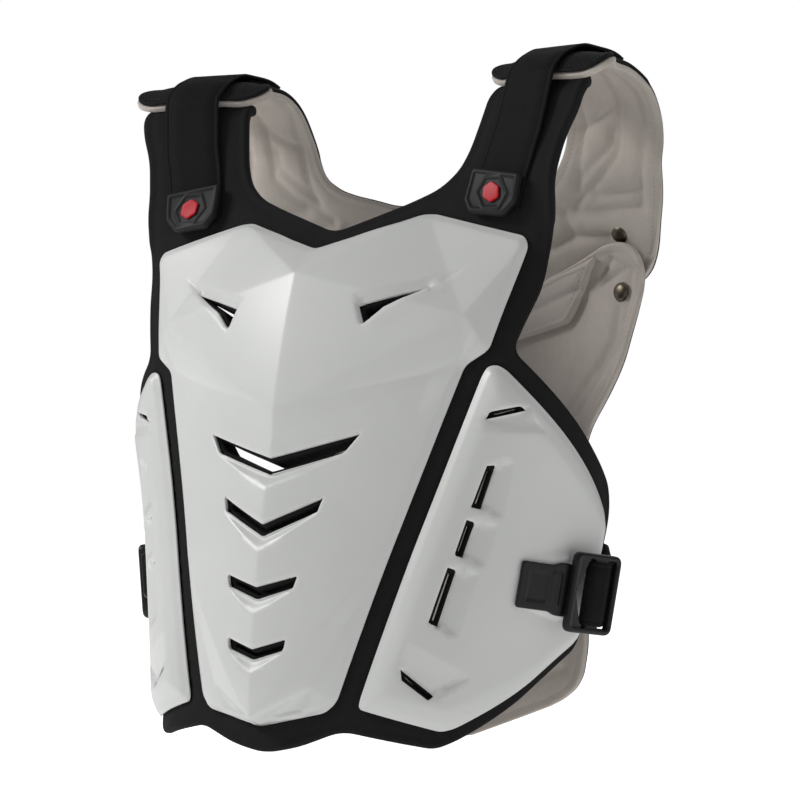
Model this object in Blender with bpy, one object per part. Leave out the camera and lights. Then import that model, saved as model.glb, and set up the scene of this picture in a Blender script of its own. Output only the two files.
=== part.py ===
"""Motorcycle armour vest: moulded shells on a padded front, a padded back with
shoulder wings, webbing shoulder straps and waist buckles.

Metres, +Z up. The wearer faces -Y, so +X is the wearer's left. The origin is on
the middle plane, level with the inside of the shoulder wings at their crest,
where the vest sits on the shoulders.
"""

import math

import bpy
from mathutils import Matrix, Vector
from mathutils.geometry import delaunay_2d_cdt

# Driving sizes of the torso that the vest goes round
TORSO_HEIGHT = 0.500      # unit of the heights in the tables, all taken from the hem level
SEAT_HEIGHT = 0.488       # hem level to the inside of the shoulder wings at their crest
TORSO_DEPTH = 0.300       # unit of the depths in the section tables
HALF_GIRTH = 0.200        # unit of the widths along the front and across the back
SHOULDER_RADIUS = 0.050   # rear bend of the shoulder wings
WING_RUN = 0.032          # level length along the top of a wing
TIP_RADIUS = 0.045        # front bend of the wings, down towards the chest
WING_MIDDLE = 0.73        # distance out to the wings' middle line, in half girths
WING_TURN = 0.22          # how far the front of a wing is turned in plan, as a slope
WING_CAMBER = 0.003       # how much lower the edges of a wing are than its middle
TAB_RADIUS = 0.024        # bend at the top of the front pad's shoulder tabs

# Walls and layers
PAD_THICK = 0.008
SHELL_WALL = 0.003
CORE_RISE = 0.0275        # foam under the highest point of the front shell's ridge
SIDE_RISE = 0.004         # foam under the side shells
CHIN_DEPTH = 0.006        # how far the lower lip of a front slot is set back
SEAT = 0.0008             # between the front shell and the pad that carries it
SIDE_SEAT = 0.0006        # the same for the side shells
SINK = 0.0008             # how far the pad is pressed in under the side shells
GAP = 0.0003              # between layers of one outline
REST = 0.0008             # between a curved sheet and what lies on it
LINING_THICK = 0.0028
BACK_THICK = 0.0032
FLAP_THICK = 0.009
YOKE_SPACING = 0.005      # between upper and lower back, bridged by the snaps

# Straps, tabs, buckles and snaps
STRAP_WIDTH = 0.0425
STRAP_THICK = 0.0022
BAND_WIDTH = 0.038        # of the webbing that comes up the back
WAIST_WEB_WIDTH = 0.044
TAB_THICK = 0.005
BADGE_THICK = 0.0012
BADGE_RADIUS = 0.0075
BUCKLE_LENGTH = 0.046
BUCKLE_BORDER = 0.0045
BUCKLE_THICK = 0.005
BUCKLE_BAR = 0.013
BUCKLE_CORNER = 0.004
BUCKLE_PLAY = 0.0012      # between the webbing's edge and the frame
BUCKLE_START = 0.037      # from the tongue's front end to the frame
BUCKLE_TILT = 8.0         # how far tongue and frame point down towards the back, in degrees
BUCKLE_FOLD = 14.0        # how far the frame is turned in from the tongue, in degrees
TONGUE_LENGTH = 0.040
TONGUE_WIDTH = 0.032
TONGUE_THICK = 0.0035
SNAP_RADIUS = 0.0075
SNAP_HEIGHT = 0.0039
SNAP_SIDES = 20
# Side of a snap from its foot. Columns: share of the height, share of the radius
SNAP_PROFILE = ((0.00, 1.00), (0.35, 1.00), (0.55, 0.93), (0.85, 0.55))

MESH_STEP = 0.0182        # side of the front panels' triangles
BACK_STEP = 0.0210        # the same for the back

WING_THICK = LINING_THICK + GAP + BACK_THICK
ROLL_HEIGHT = SEAT_HEIGHT - SHOULDER_RADIUS
CREST = ROLL_HEIGHT + SHOULDER_RADIUS * math.pi / 2

# Sections of the front from the hem up. Columns: height, depth at the middle,
# bend over one half girth in radians, half girth before the corner, corner radius
FRONT_SECTIONS = (
    (0.000, -0.613, 1.00, 0.350, 0.500),
    (0.146, -0.590, 0.96, 0.400, 0.550),
    (0.310, -0.547, 0.86, 0.500, 0.630),
    (0.556, -0.440, 0.44, 0.700, 0.450),
    (0.720, -0.327, 0.22, 0.750, 0.450),
    (0.800, -0.230, -0.20, 1.200, 0.450),
    (0.918, -0.150, -0.30, 1.300, 0.450),
)
# Sections of the back. Columns: height, depth at the middle, bend over one half girth
BACK_SECTIONS = (
    (0.000, 0.363, 0.77),
    (0.130, 0.373, 0.82),
    (0.426, 0.380, 0.82),
    (0.580, 0.390, 0.60),
    (0.700, 0.363, 0.32),
    (0.780, 0.280, 0.16),
    (0.840, 0.215, 0.08),
    (0.882, 0.200, 0.00),
)

# Right-hand halves of the flat outlines. Columns: distance from the middle as a share
# of HALF_GIRTH, height as a share of TORSO_HEIGHT
PAD_EDGE = (
    (0.000, 0.742), (0.270, 0.782), (0.375, 0.800), (0.440, 0.825), (0.470, 0.854),
    (0.495, 0.898), (0.515, 0.940), (0.545, 0.992), (0.880, 0.994), (0.922, 0.978), (0.935, 0.945),
    (0.918, 0.905), (0.870, 0.862), (0.843, 0.806), (0.848, 0.728), (0.842, 0.654),
    (0.795, 0.601), (0.768, 0.566), (1.150, 0.430), (1.300, 0.382), (1.345, 0.344),
    (1.350, 0.292), (1.350, 0.190), (1.330, 0.150), (0.690, 0.038), (0.615, 0.028),
    (0.285, 0.053), (0.130, 0.030), (0.000, 0.020),
)
SHELL_EDGE = (
    (0.000, 0.700), (0.360, 0.756), (0.400, 0.757), (0.755, 0.722), (0.772, 0.708),
    (0.690, 0.565), (0.613, 0.544), (0.430, 0.302), (0.272, 0.092), (0.235, 0.077),
    (0.000, 0.056),
)
SIDE_EDGE = (
    (0.674, 0.530), (0.690, 0.543), (0.723, 0.545), (0.755, 0.538), (1.270, 0.346),
    (1.298, 0.328), (1.305, 0.293), (1.305, 0.182), (1.285, 0.162), (0.672, 0.056),
    (0.625, 0.052), (0.345, 0.083), (0.350, 0.096), (0.512, 0.316),
)
UPPER_BACK_EDGE = (
    (0.000, 0.802), (0.250, 0.806), (0.320, 0.815), (0.405, 0.824), (0.460, 0.833),
    (0.500, 0.847), (0.525, 0.864), (0.540, 0.882), (0.562, 0.924), (0.566, 1.039),
    (0.540, 1.080), (0.490, 1.112), (0.470, 1.134), (0.490, 1.156), (0.550, 1.170),
    (0.880, 1.176), (0.960, 1.166), (0.995, 1.142), (0.975, 1.110), (0.915, 1.075),
    (0.890, 1.039), (0.900, 1.000), (0.925, 0.960), (0.930, 0.900), (0.915, 0.814),
    (0.840, 0.722), (0.800, 0.692), (0.700, 0.664), (0.300, 0.610), (0.000, 0.600),
)
LOWER_BACK_EDGE = (
    (0.000, 0.640), (0.300, 0.682), (0.580, 0.732), (0.650, 0.745), (0.735, 0.747),
    (0.795, 0.732), (0.822, 0.696), (0.824, 0.670), (0.802, 0.623), (0.757, 0.554),
    (0.692, 0.506), (0.600, 0.455), (0.570, 0.400), (0.570, 0.260), (0.592, 0.200),
    (0.610, 0.150), (0.575, 0.087), (0.480, 0.062), (0.410, 0.050), (0.000, -0.006),
)
FLAP_EDGE = (
    (0.000, 0.628), (0.300, 0.680), (0.630, 0.735), (0.578, 0.684), (0.530, 0.642),
    (0.495, 0.620), (0.198, 0.596), (0.000, 0.566),
)
SHOULDER_TAB_EDGE = (
    (0.537, 0.816), (0.746, 0.804), (0.730, 0.768), (0.680, 0.747), (0.550, 0.751),
    (0.522, 0.768),
)

# Corners of the front shell's facets. Columns: distance from the middle, height,
# foam height as a share of CORE_RISE
FACET_POINTS = {
    "neck": (0.000, 0.700, 0.46),
    "peak": (0.385, 0.758, 0.00),
    "shoulder": (0.775, 0.716, 0.00),
    "chest_corner": (0.690, 0.562, 0.00),
    "notch": (0.613, 0.544, 0.00),
    "ridge_top": (0.000, 0.652, 1.00),
    "ridge_foot": (0.000, 0.470, 0.84),
    "brow": (0.600, 0.606, 0.32),
    "step": (0.000, 0.440, 0.70),
    "waist": (0.430, 0.302, 0.00),
    "toe_side": (0.190, 0.110, 0.10),
    "hip": (0.270, 0.088, 0.00),
    "toe": (0.000, 0.066, 0.58),
    "hem": (0.000, 0.056, 0.00),
}
FACETS = (
    ("neck", "peak", "ridge_top"),
    ("peak", "shoulder", "brow"),
    ("peak", "brow", "ridge_top"),
    ("ridge_top", "brow", "ridge_foot"),
    ("shoulder", "chest_corner", "brow"),
    ("chest_corner", "notch", "brow"),
    ("brow", "notch", "ridge_foot"),
    ("ridge_foot", "notch", "step"),
    ("step", "notch", "waist"),
    ("step", "waist", "toe"),
    ("waist", "toe_side", "toe"),
    ("waist", "hip", "toe_side"),
    ("toe_side", "hip", "hem"),
    ("toe", "toe_side", "hem"),
)
# V slots of the front shell. Columns: tip out, tip height, lower corner out, its
# height, middle top, middle bottom, middle of the chin below
FRONT_SLOTS = (
    (0.292, 0.447, 0.245, 0.421, 0.409, 0.388, 0.368),
    (0.190, 0.360, 0.176, 0.341, 0.321, 0.305, 0.285),
    (0.132, 0.256, 0.121, 0.240, 0.239, 0.223, 0.203),
    (0.108, 0.172, 0.102, 0.157, 0.157, 0.143, 0.124),
)
CHEST_VENT = ((0.475, 0.645), (0.240, 0.614), (0.268, 0.588))
SIDE_SLOTS = (
    ((0.700, 0.471), (0.711, 0.481), (0.808, 0.490), (0.829, 0.484)),
    ((0.713, 0.409), (0.743, 0.410), (0.705, 0.350), (0.672, 0.353)),
    ((0.661, 0.336), (0.690, 0.332), (0.659, 0.285), (0.630, 0.288)),
    ((0.612, 0.272), (0.642, 0.268), (0.591, 0.193), (0.560, 0.198)),
    ((0.480, 0.136), (0.485, 0.122), (0.572, 0.095), (0.590, 0.101)),
)
# Flat seat of the buckle, raised out of a side shell: its foot and its face
SEAT_FOOT = ((0.820, 0.222), (1.052, 0.200), (1.052, 0.296), (0.820, 0.294))
SEAT_FACE = ((0.845, 0.226), (1.036, 0.209), (1.036, 0.287), (0.845, 0.285))

# Middle line of the shoulder straps down the chest. Columns: distance out, height,
# lift in strap thicknesses
STRAP_ON_CHEST = (
    (0.692, 0.872, 1.20), (0.682, 0.860, 0.80), (0.671, 0.845, 0.40),
    (0.661, 0.830, 0.10), (0.650, 0.814, 0.00), (0.640, 0.797, 0.00),
    (0.630, 0.781, 0.00), (0.622, 0.764, 0.00),
)
TIP_REACH = 0.72          # how far round the wing's front bend a strap lies, in radians
DROP_STEP = 0.008         # from there to where the strap leaves the wing
BAND_START = 0.72         # height where the band on the back begins, as a share
BAND_STATIONS = 19
STRAP_STATIONS = 15

# Places on the panels: distance out, height
BUCKLE_AT = (0.850, 0.252)
SNAP_ON_UPPER = (0.700, 0.751)
SNAP_ON_LOWER = (0.725, 0.663)
BADGE_AT = (0.633, 0.779)

COLOURS = {
    "shell": ((0.80, 0.81, 0.79, 1.0), 0.38, 0.0),
    "pad": ((0.018, 0.018, 0.019, 1.0), 0.85, 0.0),
    "lining": ((0.40, 0.35, 0.31, 1.0), 0.80, 0.0),
    "webbing": ((0.014, 0.014, 0.015, 1.0), 0.90, 0.0),
    "rubber": ((0.022, 0.022, 0.024, 1.0), 0.55, 0.0),
    "badge": ((0.68, 0.03, 0.05, 1.0), 0.45, 0.0),
    "plastic": ((0.016, 0.016, 0.017, 1.0), 0.40, 0.0),
    "snap": ((0.30, 0.26, 0.20, 1.0), 0.30, 1.0),
}


def clear_scene():
    for old in list(bpy.data.objects):
        bpy.data.objects.remove(old)


def material_for(name, kind):
    colour, roughness, metallic = COLOURS[kind]
    material = bpy.data.materials.new(name)
    material.use_nodes = True
    shader = material.node_tree.nodes["Principled BSDF"]
    shader.inputs["Base Color"].default_value = colour
    shader.inputs["Roughness"].default_value = roughness
    shader.inputs["Metallic"].default_value = metallic
    material.diffuse_color = colour
    return material


def add_solid(name, kind, points, faces):
    """One closed body, turned so that its faces point out."""
    volume = 0.0
    for face in faces:
        for i in range(1, len(face) - 1):
            a, b, c = points[face[0]], points[face[i]], points[face[i + 1]]
            volume += a.dot(b.cross(c))
    if volume < 0:
        faces = [tuple(reversed(face)) for face in faces]
    mesh = bpy.data.meshes.new(name)
    mesh.from_pydata([tuple(p) for p in points], [], faces)
    mesh.materials.append(material_for(name, kind))
    bpy.context.scene.collection.objects.link(bpy.data.objects.new(name, mesh))


def clamp(value, low=0.0, high=1.0):
    return max(low, min(high, value))


def smooth(value):
    value = clamp(value)
    return value * value * (3 - 2 * value)


def interpolate(rows, height):
    """A smooth curve through the rows of a section table."""
    height = clamp(height, rows[0][0], rows[-1][0])
    i = 0
    while i < len(rows) - 2 and height > rows[i + 1][0]:
        i += 1

    def slope(k, column):
        low, high = max(k - 1, 0), min(k + 1, len(rows) - 1)
        return (rows[high][column] - rows[low][column]) / (rows[high][0] - rows[low][0])

    span = rows[i + 1][0] - rows[i][0]
    t = (height - rows[i][0]) / span
    found = []
    for column in range(1, len(rows[0])):
        a, b = rows[i][column], rows[i + 1][column]
        found.append(
            (2 * t**3 - 3 * t**2 + 1) * a
            + (t**3 - 2 * t**2 + t) * span * slope(i, column)
            + (3 * t**2 - 2 * t**3) * b
            + (t**3 - t**2) * span * slope(i + 1, column)
        )
    return found


def section_point(out, bend, half, corner):
    """Across and inward distance after going out round one side of a front section."""
    sign = -1 if out < 0 else 1
    out = abs(out)
    flat = min(out, half)
    if abs(bend) > 1e-6:
        across, inward = math.sin(bend * flat) / bend, (1 - math.cos(bend * flat)) / bend
    else:
        across, inward = flat, 0.0
    if out > half:
        start = bend * half
        angle = min(start + (out - half) / corner, math.pi / 2)
        across += corner * (math.sin(angle) - math.sin(start))
        inward += corner * (math.cos(start) - math.cos(angle))
        inward += max(0.0, out - half - corner * (math.pi / 2 - start))
    return sign * across, inward


def front_surface(out, height):
    """Outer face of the front pad where it has no raised core."""
    roll = FRONT_SECTIONS[-1][0] * TORSO_HEIGHT
    share = min(height, roll) / TORSO_HEIGHT
    depth, bend, half, corner = interpolate(FRONT_SECTIONS, share)
    across, inward = section_point(
        out, bend / HALF_GIRTH, half * HALF_GIRTH, corner * HALF_GIRTH
    )
    y, z = depth * TORSO_DEPTH + inward, min(height, roll)
    if height > roll:
        last, before = FRONT_SECTIONS[-1], FRONT_SECTIONS[-2]
        rise = (last[0] - before[0]) * TORSO_HEIGHT
        lean = math.atan((last[1] - before[1]) * TORSO_DEPTH / rise)
        turn = min(lean + (height - roll) / TAB_RADIUS, math.pi / 2)
        y += TAB_RADIUS * (math.cos(lean) - math.cos(turn))
        z += TAB_RADIUS * (math.sin(turn) - math.sin(lean))
        y += max(0.0, height - roll - TAB_RADIUS * (math.pi / 2 - lean))
    return Vector((across, y, z - SEAT_HEIGHT))


def back_surface(out, height):
    """Face of the upper back that lies on the body, wings included."""
    depth, bend = interpolate(BACK_SECTIONS, min(height, ROLL_HEIGHT) / TORSO_HEIGHT)
    y = depth * TORSO_DEPTH - bend / HALF_GIRTH * out * out / 2
    z, lean = min(height, ROLL_HEIGHT), 0.0
    if height > CREST:
        along = height - CREST
        turn = max(0.0, along - WING_RUN) / TIP_RADIUS
        y -= SHOULDER_RADIUS + min(along, WING_RUN) + TIP_RADIUS * math.sin(turn)
        z += SHOULDER_RADIUS - TIP_RADIUS * (1 - math.cos(turn))
        lean = math.pi / 2 + turn
    elif height > ROLL_HEIGHT:
        lean = (height - ROLL_HEIGHT) / SHOULDER_RADIUS
        y -= SHOULDER_RADIUS * (1 - math.cos(lean))
        z += SHOULDER_RADIUS * math.sin(lean)
    side = clamp((abs(out) / HALF_GIRTH - WING_MIDDLE) / 0.18, -1.0, 1.0)
    drop = WING_CAMBER * side * side * smooth((height / TORSO_HEIGHT - 0.80) / 0.16)
    y -= drop * math.cos(lean)
    z -= drop * math.sin(lean)
    forward = smooth((height - CREST) / (WING_RUN * 2))
    y -= WING_TURN * forward * (abs(out) - WING_MIDDLE * HALF_GIRTH)
    return Vector((out, y, z - SEAT_HEIGHT))


def frame_on(surface, out, height):
    """Point, direction outwards round the body, direction up and normal away from it."""
    step = 0.0005
    point = surface(out, height)
    along = (surface(out + step, height) - surface(out - step, height)).normalized()
    up = (surface(out, height + step) - surface(out, height - step)).normalized()
    normal = along.cross(up).normalized()
    if surface is back_surface:
        normal.negate()
    return point, along, up, normal


def lifted(surface, out, height, offset):
    point, _, _, normal = frame_on(surface, out, height)
    return point + normal * offset


def in_metres(shares):
    return [(u * HALF_GIRTH, v * TORSO_HEIGHT) for u, v in shares]


def both_sides(half):
    """Closed outline from its right-hand half, which starts and ends at the middle."""
    left = [(-u, v) for u, v in reversed(half) if u > 0]
    return in_metres(tuple(half) + tuple(left))


def inside(point, outline):
    x, y = point
    odd = False
    for (ax, ay), (bx, by) in zip(outline, outline[1:] + outline[:1]):
        if (ay > y) != (by > y) and x < (bx - ax) * (y - ay) / (by - ay) + ax:
            odd = not odd
    return odd


def distance_to(point, segments):
    nearest = 1.0
    for a, b in segments:
        span = (b[0] - a[0], b[1] - a[1])
        length = span[0] ** 2 + span[1] ** 2
        along = (point[0] - a[0]) * span[0] + (point[1] - a[1]) * span[1]
        t = clamp(along / length) if length else 0.0
        away = math.hypot(a[0] + t * span[0] - point[0], a[1] + t * span[1] - point[1])
        nearest = min(nearest, away)
    return nearest


def loop_segments(outline):
    return list(zip(outline, outline[1:] + outline[:1]))


def regions_of(faces, walls):
    """Faces grouped so that no group crosses a wall edge."""
    beside = {}
    for number, face in enumerate(faces):
        for a, b in zip(face, face[1:] + face[:1]):
            beside.setdefault((min(a, b), max(a, b)), []).append(number)
    groups, seen = [], set()
    for first in range(len(faces)):
        if first in seen:
            continue
        seen.add(first)
        group, waiting = [], [first]
        while waiting:
            number = waiting.pop()
            group.append(number)
            face = faces[number]
            for a, b in zip(face, face[1:] + face[:1]):
                edge = (min(a, b), max(a, b))
                if edge in walls:
                    continue
                for other in beside[edge]:
                    if other not in seen:
                        seen.add(other)
                        waiting.append(other)
        groups.append(group)
    return groups


def flat_mesh(outline, holes, creases, step):
    """Triangles over a flat outline, with its holes left out and its creases kept."""
    rims = loop_segments(outline)
    for hole in holes:
        rims += loop_segments(hole)
    segments = rims + creases
    points, edges, index = [], [], {}

    def add(point):
        key = (round(point[0], 6), round(point[1], 6))
        if key not in index:
            index[key] = len(points)
            points.append(Vector(point))
        return index[key]

    rim_edges = 0
    for number, (a, b) in enumerate(segments):
        count = max(1, math.ceil(math.dist(a, b) / (step * 1.25)))
        run = []
        for k in range(count + 1):
            t = k / count
            run.append(add((a[0] + (b[0] - a[0]) * t, a[1] + (b[1] - a[1]) * t)))
        edges += list(zip(run, run[1:]))
        if number < len(rims):
            rim_edges = len(edges)
    columns = math.ceil(max(abs(p[0]) for p in outline) / step) + 1
    low = min(p[1] for p in outline)
    high = max(p[1] for p in outline)
    row_step = step * math.sqrt(3) / 2
    for row in range(math.floor(low / row_step), math.ceil(high / row_step) + 1):
        shift = 0.5 * step if row % 2 else 0.0
        for column in range(-columns, columns + 1):
            point = (column * step + shift, row * row_step)
            if not inside(point, outline) or any(inside(point, hole) for hole in holes):
                continue
            if distance_to(point, segments) > 0.40 * step:
                add(point)
    found = delaunay_2d_cdt(points, edges, [], 0, 1e-7)
    flat, faces = found[0], [tuple(face) for face in found[2]]
    walls = set()
    for (a, b), sources in zip(found[1], found[4]):
        if any(source < rim_edges for source in sources):
            walls.add((min(a, b), max(a, b)))
    kept = []
    for group in regions_of(faces, walls):
        vote = 0.0
        for number in group:
            a, b, c = (flat[i] for i in faces[number])
            area = abs((b - a).cross(c - a))
            centre = tuple((a + b + c) / 3)
            on_sheet = inside(centre, outline)
            on_sheet = on_sheet and not any(inside(centre, hole) for hole in holes)
            vote += area if on_sheet else -area
        if vote > 0:
            kept += [faces[number] for number in group]
    used = sorted({i for face in kept for i in face})
    renumbered = {old: new for new, old in enumerate(used)}
    flat = [(flat[i].x, flat[i].y) for i in used]
    return flat, [tuple(renumbered[i] for i in face) for face in kept]


def add_panel(name, kind, surface, outline, outer, inner, **options):
    """A sheet wrapped round a surface between two offsets, which may vary over it."""
    flat, faces = flat_mesh(
        outline,
        options.get("holes", []),
        options.get("creases", []),
        options.get("step", MESH_STEP),
    )
    sides = options.get("side", 1)
    points = []
    for offset in (outer, inner):
        for u, v in flat:
            away = offset(u, v) if callable(offset) else offset
            points.append(lifted(surface, u * sides, v, away))
    count = len(flat)
    walls = {}
    for face in faces:
        for a, b in zip(face, face[1:] + face[:1]):
            if walls.pop((b, a), None) is None:
                walls[(a, b)] = True
    solid = list(faces) + [tuple(i + count for i in reversed(face)) for face in faces]
    for a, b in walls:
        solid += [(b, a, a + count), (b, a + count, b + count)]
    add_solid(name, kind, points, solid)


def weights(point, a, b, c):
    """Barycentric weights of a point in a flat triangle."""
    det = (b[1] - c[1]) * (a[0] - c[0]) + (c[0] - b[0]) * (a[1] - c[1])
    first = ((b[1] - c[1]) * (point[0] - c[0]) + (c[0] - b[0]) * (point[1] - c[1])) / det
    second = ((c[1] - a[1]) * (point[0] - c[0]) + (a[0] - c[0]) * (point[1] - c[1])) / det
    return first, second, 1 - first - second


def facet_height(out, height):
    """Foam height under the front shell's facets, as a share of CORE_RISE."""
    point = (abs(out) / HALF_GIRTH, height / TORSO_HEIGHT)
    best, found = -1.0, 0.0
    for names in FACETS:
        corners = [FACET_POINTS[n] for n in names]
        shares = weights(point, *corners)
        if min(shares) > best:
            best = min(shares)
            found = sum(s * corner[2] for s, corner in zip(shares, corners))
        if best >= 0:
            break
    return max(0.0, found)


def chin_dent(out, height):
    """How far the chin facet under a slot is set back."""
    point = (abs(out) / HALF_GIRTH, height / TORSO_HEIGHT)
    for _, _, low_out, low_height, _, bottom, chin in FRONT_SLOTS:
        corners = (low_out, low_height), (0.0, bottom), (0.0, chin)
        shares = weights(point, *corners)
        if min(shares) >= -1e-4:
            return CHIN_DEPTH * (shares[1] + 0.4 * shares[0])
    return 0.0


def front_core(out, height):
    return max(0.0, CORE_RISE * facet_height(out, height) - chin_dent(out, height))


def buckle_seat_height(out, height):
    """Foam height that puts the side shell's outer face on the buckle's flat seat."""
    origin, _, _, facing = frame_on(front_surface, *in_metres((BUCKLE_AT,))[0])
    point, _, _, normal = frame_on(front_surface, out, height)
    level = (origin - point).dot(facing) + SIDE_RISE + SIDE_SEAT + SHELL_WALL
    return level / normal.dot(facing) - SIDE_SEAT - SHELL_WALL


def side_core(out, height):
    edge = loop_segments(in_metres(SIDE_EDGE))
    point = (abs(out), height)
    rise = SIDE_RISE * smooth(distance_to(point, edge) / 0.016)
    foot, face = in_metres(SEAT_FOOT), in_metres(SEAT_FACE)
    if not inside(point, foot):
        return rise
    from_foot = distance_to(point, loop_segments(foot))
    from_face = 0.0 if inside(point, face) else distance_to(point, loop_segments(face))
    share = from_foot / (from_foot + from_face)
    return rise + max(0.0, buckle_seat_height(*point) - rise) * share


def mirrored(outline):
    return [(-u, v) for u, v in reversed(outline)]


def slot_outline(row):
    tip_out, tip, low_out, low, top, bottom, _ = row
    half = ((0.0, top), (tip_out, tip), (low_out, low), (0.0, bottom))
    left = ((-low_out, low), (-tip_out, tip))
    return in_metres(half + left)


def front_holes():
    holes = [slot_outline(row) for row in FRONT_SLOTS]
    vent = in_metres(CHEST_VENT)
    return holes + [vent, mirrored(vent)]


def front_creases():
    lines = set()
    for names in FACETS:
        for a, b in zip(names, names[1:] + names[:1]):
            lines.add(tuple(sorted((a, b))))
    rim = ("neck", "peak", "shoulder", "chest_corner", "notch", "waist", "hip", "hem")
    rim_lines = {tuple(sorted(pair)) for pair in zip(rim, rim[1:])}
    creases = []
    for a, b in sorted(lines - rim_lines):
        ends = in_metres((FACET_POINTS[a][:2], FACET_POINTS[b][:2]))
        creases.append(tuple(ends))
        if ends[0][0] or ends[1][0]:
            creases.append(tuple((-u, v) for u, v in ends))
    for row in FRONT_SLOTS:
        low, chin = in_metres(((row[2], row[3]), (0.0, row[6])))
        creases += [(low, chin), ((-low[0], low[1]), chin)]
    return creases


def clipped(lines, outline, holes):
    """The stretches of the crease lines that lie on the sheet, clear of its edges."""
    kept = []
    edges = loop_segments(outline)
    for hole in holes:
        edges += loop_segments(hole)
    for a, b in lines:
        count = max(2, math.ceil(math.dist(a, b) / 0.003))
        run = []
        for k in range(count + 1):
            t = k / count
            point = (a[0] + (b[0] - a[0]) * t, a[1] + (b[1] - a[1]) * t)
            on_sheet = inside(point, outline) and not any(inside(point, h) for h in holes)
            if on_sheet and distance_to(point, edges) > 0.0012:
                run.append(point)
            elif len(run) > 1:
                kept.append((run[0], run[-1]))
                run = []
            else:
                run = []
        if len(run) > 1:
            kept.append((run[0], run[-1]))
    return kept


def pad_core(out, height):
    """The pad's foam core, which ends a little inside the edge of each shell."""
    point = (out, height)
    shell = both_sides(SHELL_EDGE)
    if inside(point, shell):
        reach = smooth((distance_to(point, loop_segments(shell)) - 0.001) / 0.010)
        return front_core(out, height) * reach
    point, sides = (abs(out), height), in_metres(SIDE_EDGE)
    if inside(point, sides) or distance_to(point, loop_segments(sides)) < 0.001:
        return side_core(out, height) - SINK
    return 0.0


def make_front():
    shell = both_sides(SHELL_EDGE)
    slots = front_holes()
    side_slots = [in_metres(slot) for slot in SIDE_SLOTS]
    pad_holes = slots + side_slots + [mirrored(slot) for slot in side_slots]
    on_shell = clipped(front_creases(), shell, slots)
    sides = in_metres(SIDE_EDGE)
    under = on_shell + loop_segments(shell)
    seat = loop_segments(in_metres(SEAT_FOOT)) + loop_segments(in_metres(SEAT_FACE))
    under += loop_segments(sides) + loop_segments(mirrored(sides))
    under += seat + [((-a[0], a[1]), (-b[0], b[1])) for a, b in seat]
    add_panel("front_pad", "pad", front_surface, both_sides(PAD_EDGE), pad_core,
              -PAD_THICK, holes=pad_holes, creases=under)
    add_panel("front_shell", "shell", front_surface, shell,
              lambda u, v: front_core(u, v) + SEAT + SHELL_WALL,
              lambda u, v: front_core(u, v) + SEAT,
              holes=slots, creases=on_shell)
    for label, side in (("left", 1), ("right", -1)):
        add_panel(f"side_shell_{label}", "shell", front_surface, sides,
                  lambda u, v: side_core(u, v) + SIDE_SEAT + SHELL_WALL,
                  lambda u, v: side_core(u, v) + SIDE_SEAT,
                  holes=side_slots, creases=seat, side=side)


def make_back():
    upper = both_sides(UPPER_BACK_EDGE)
    lower = both_sides(LOWER_BACK_EDGE)
    add_panel("upper_back_lining", "lining", back_surface, upper, LINING_THICK, 0.0,
              step=BACK_STEP)
    add_panel("upper_back", "pad", back_surface, upper, WING_THICK, LINING_THICK + GAP,
              step=BACK_STEP)
    outer = -YOKE_SPACING
    add_panel("lower_back", "pad", back_surface, lower, outer, outer - BACK_THICK,
              step=BACK_STEP)
    face = outer - BACK_THICK - GAP
    add_panel("lower_back_lining", "lining", back_surface, lower, face,
              face - LINING_THICK, step=BACK_STEP)
    flap = face - LINING_THICK - REST * 1.8
    add_panel("back_flap", "lining", back_surface, both_sides(FLAP_EDGE),
              flap, flap - FLAP_THICK, step=BACK_STEP)


def ribbon(name, kind, stations, width, thick):
    """A flat strap through its stations: centre, direction across it."""
    points, faces = [], []
    for i, (centre, across) in enumerate(stations):
        before, after = stations[max(i - 1, 0)][0], stations[min(i + 1, len(stations) - 1)][0]
        tangent = (after - before).normalized()
        across = (across - tangent * across.dot(tangent)).normalized()
        normal = tangent.cross(across).normalized()
        for s, n in ((-1, -1), (1, -1), (1, 1), (-1, 1)):
            points.append(centre + across * (s * width / 2) + normal * (n * thick / 2))
    for i in range(len(stations) - 1):
        for k in range(4):
            a, b = 4 * i + k, 4 * i + (k + 1) % 4
            faces.append((a, b, b + 4, a + 4))
    last = 4 * (len(stations) - 1)
    faces.append((3, 2, 1, 0))
    faces.append((last, last + 1, last + 2, last + 3))
    add_solid(name, kind, points, faces)


def on_wing(side, out, height, offset):
    point, along, _, normal = frame_on(back_surface, side * out * HALF_GIRTH, height)
    return point + normal * offset, along


def on_chest(side, out, height, offset):
    point, along, _, normal = frame_on(
        front_surface, side * out * HALF_GIRTH, height * TORSO_HEIGHT
    )
    return point + normal * offset, along


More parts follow.
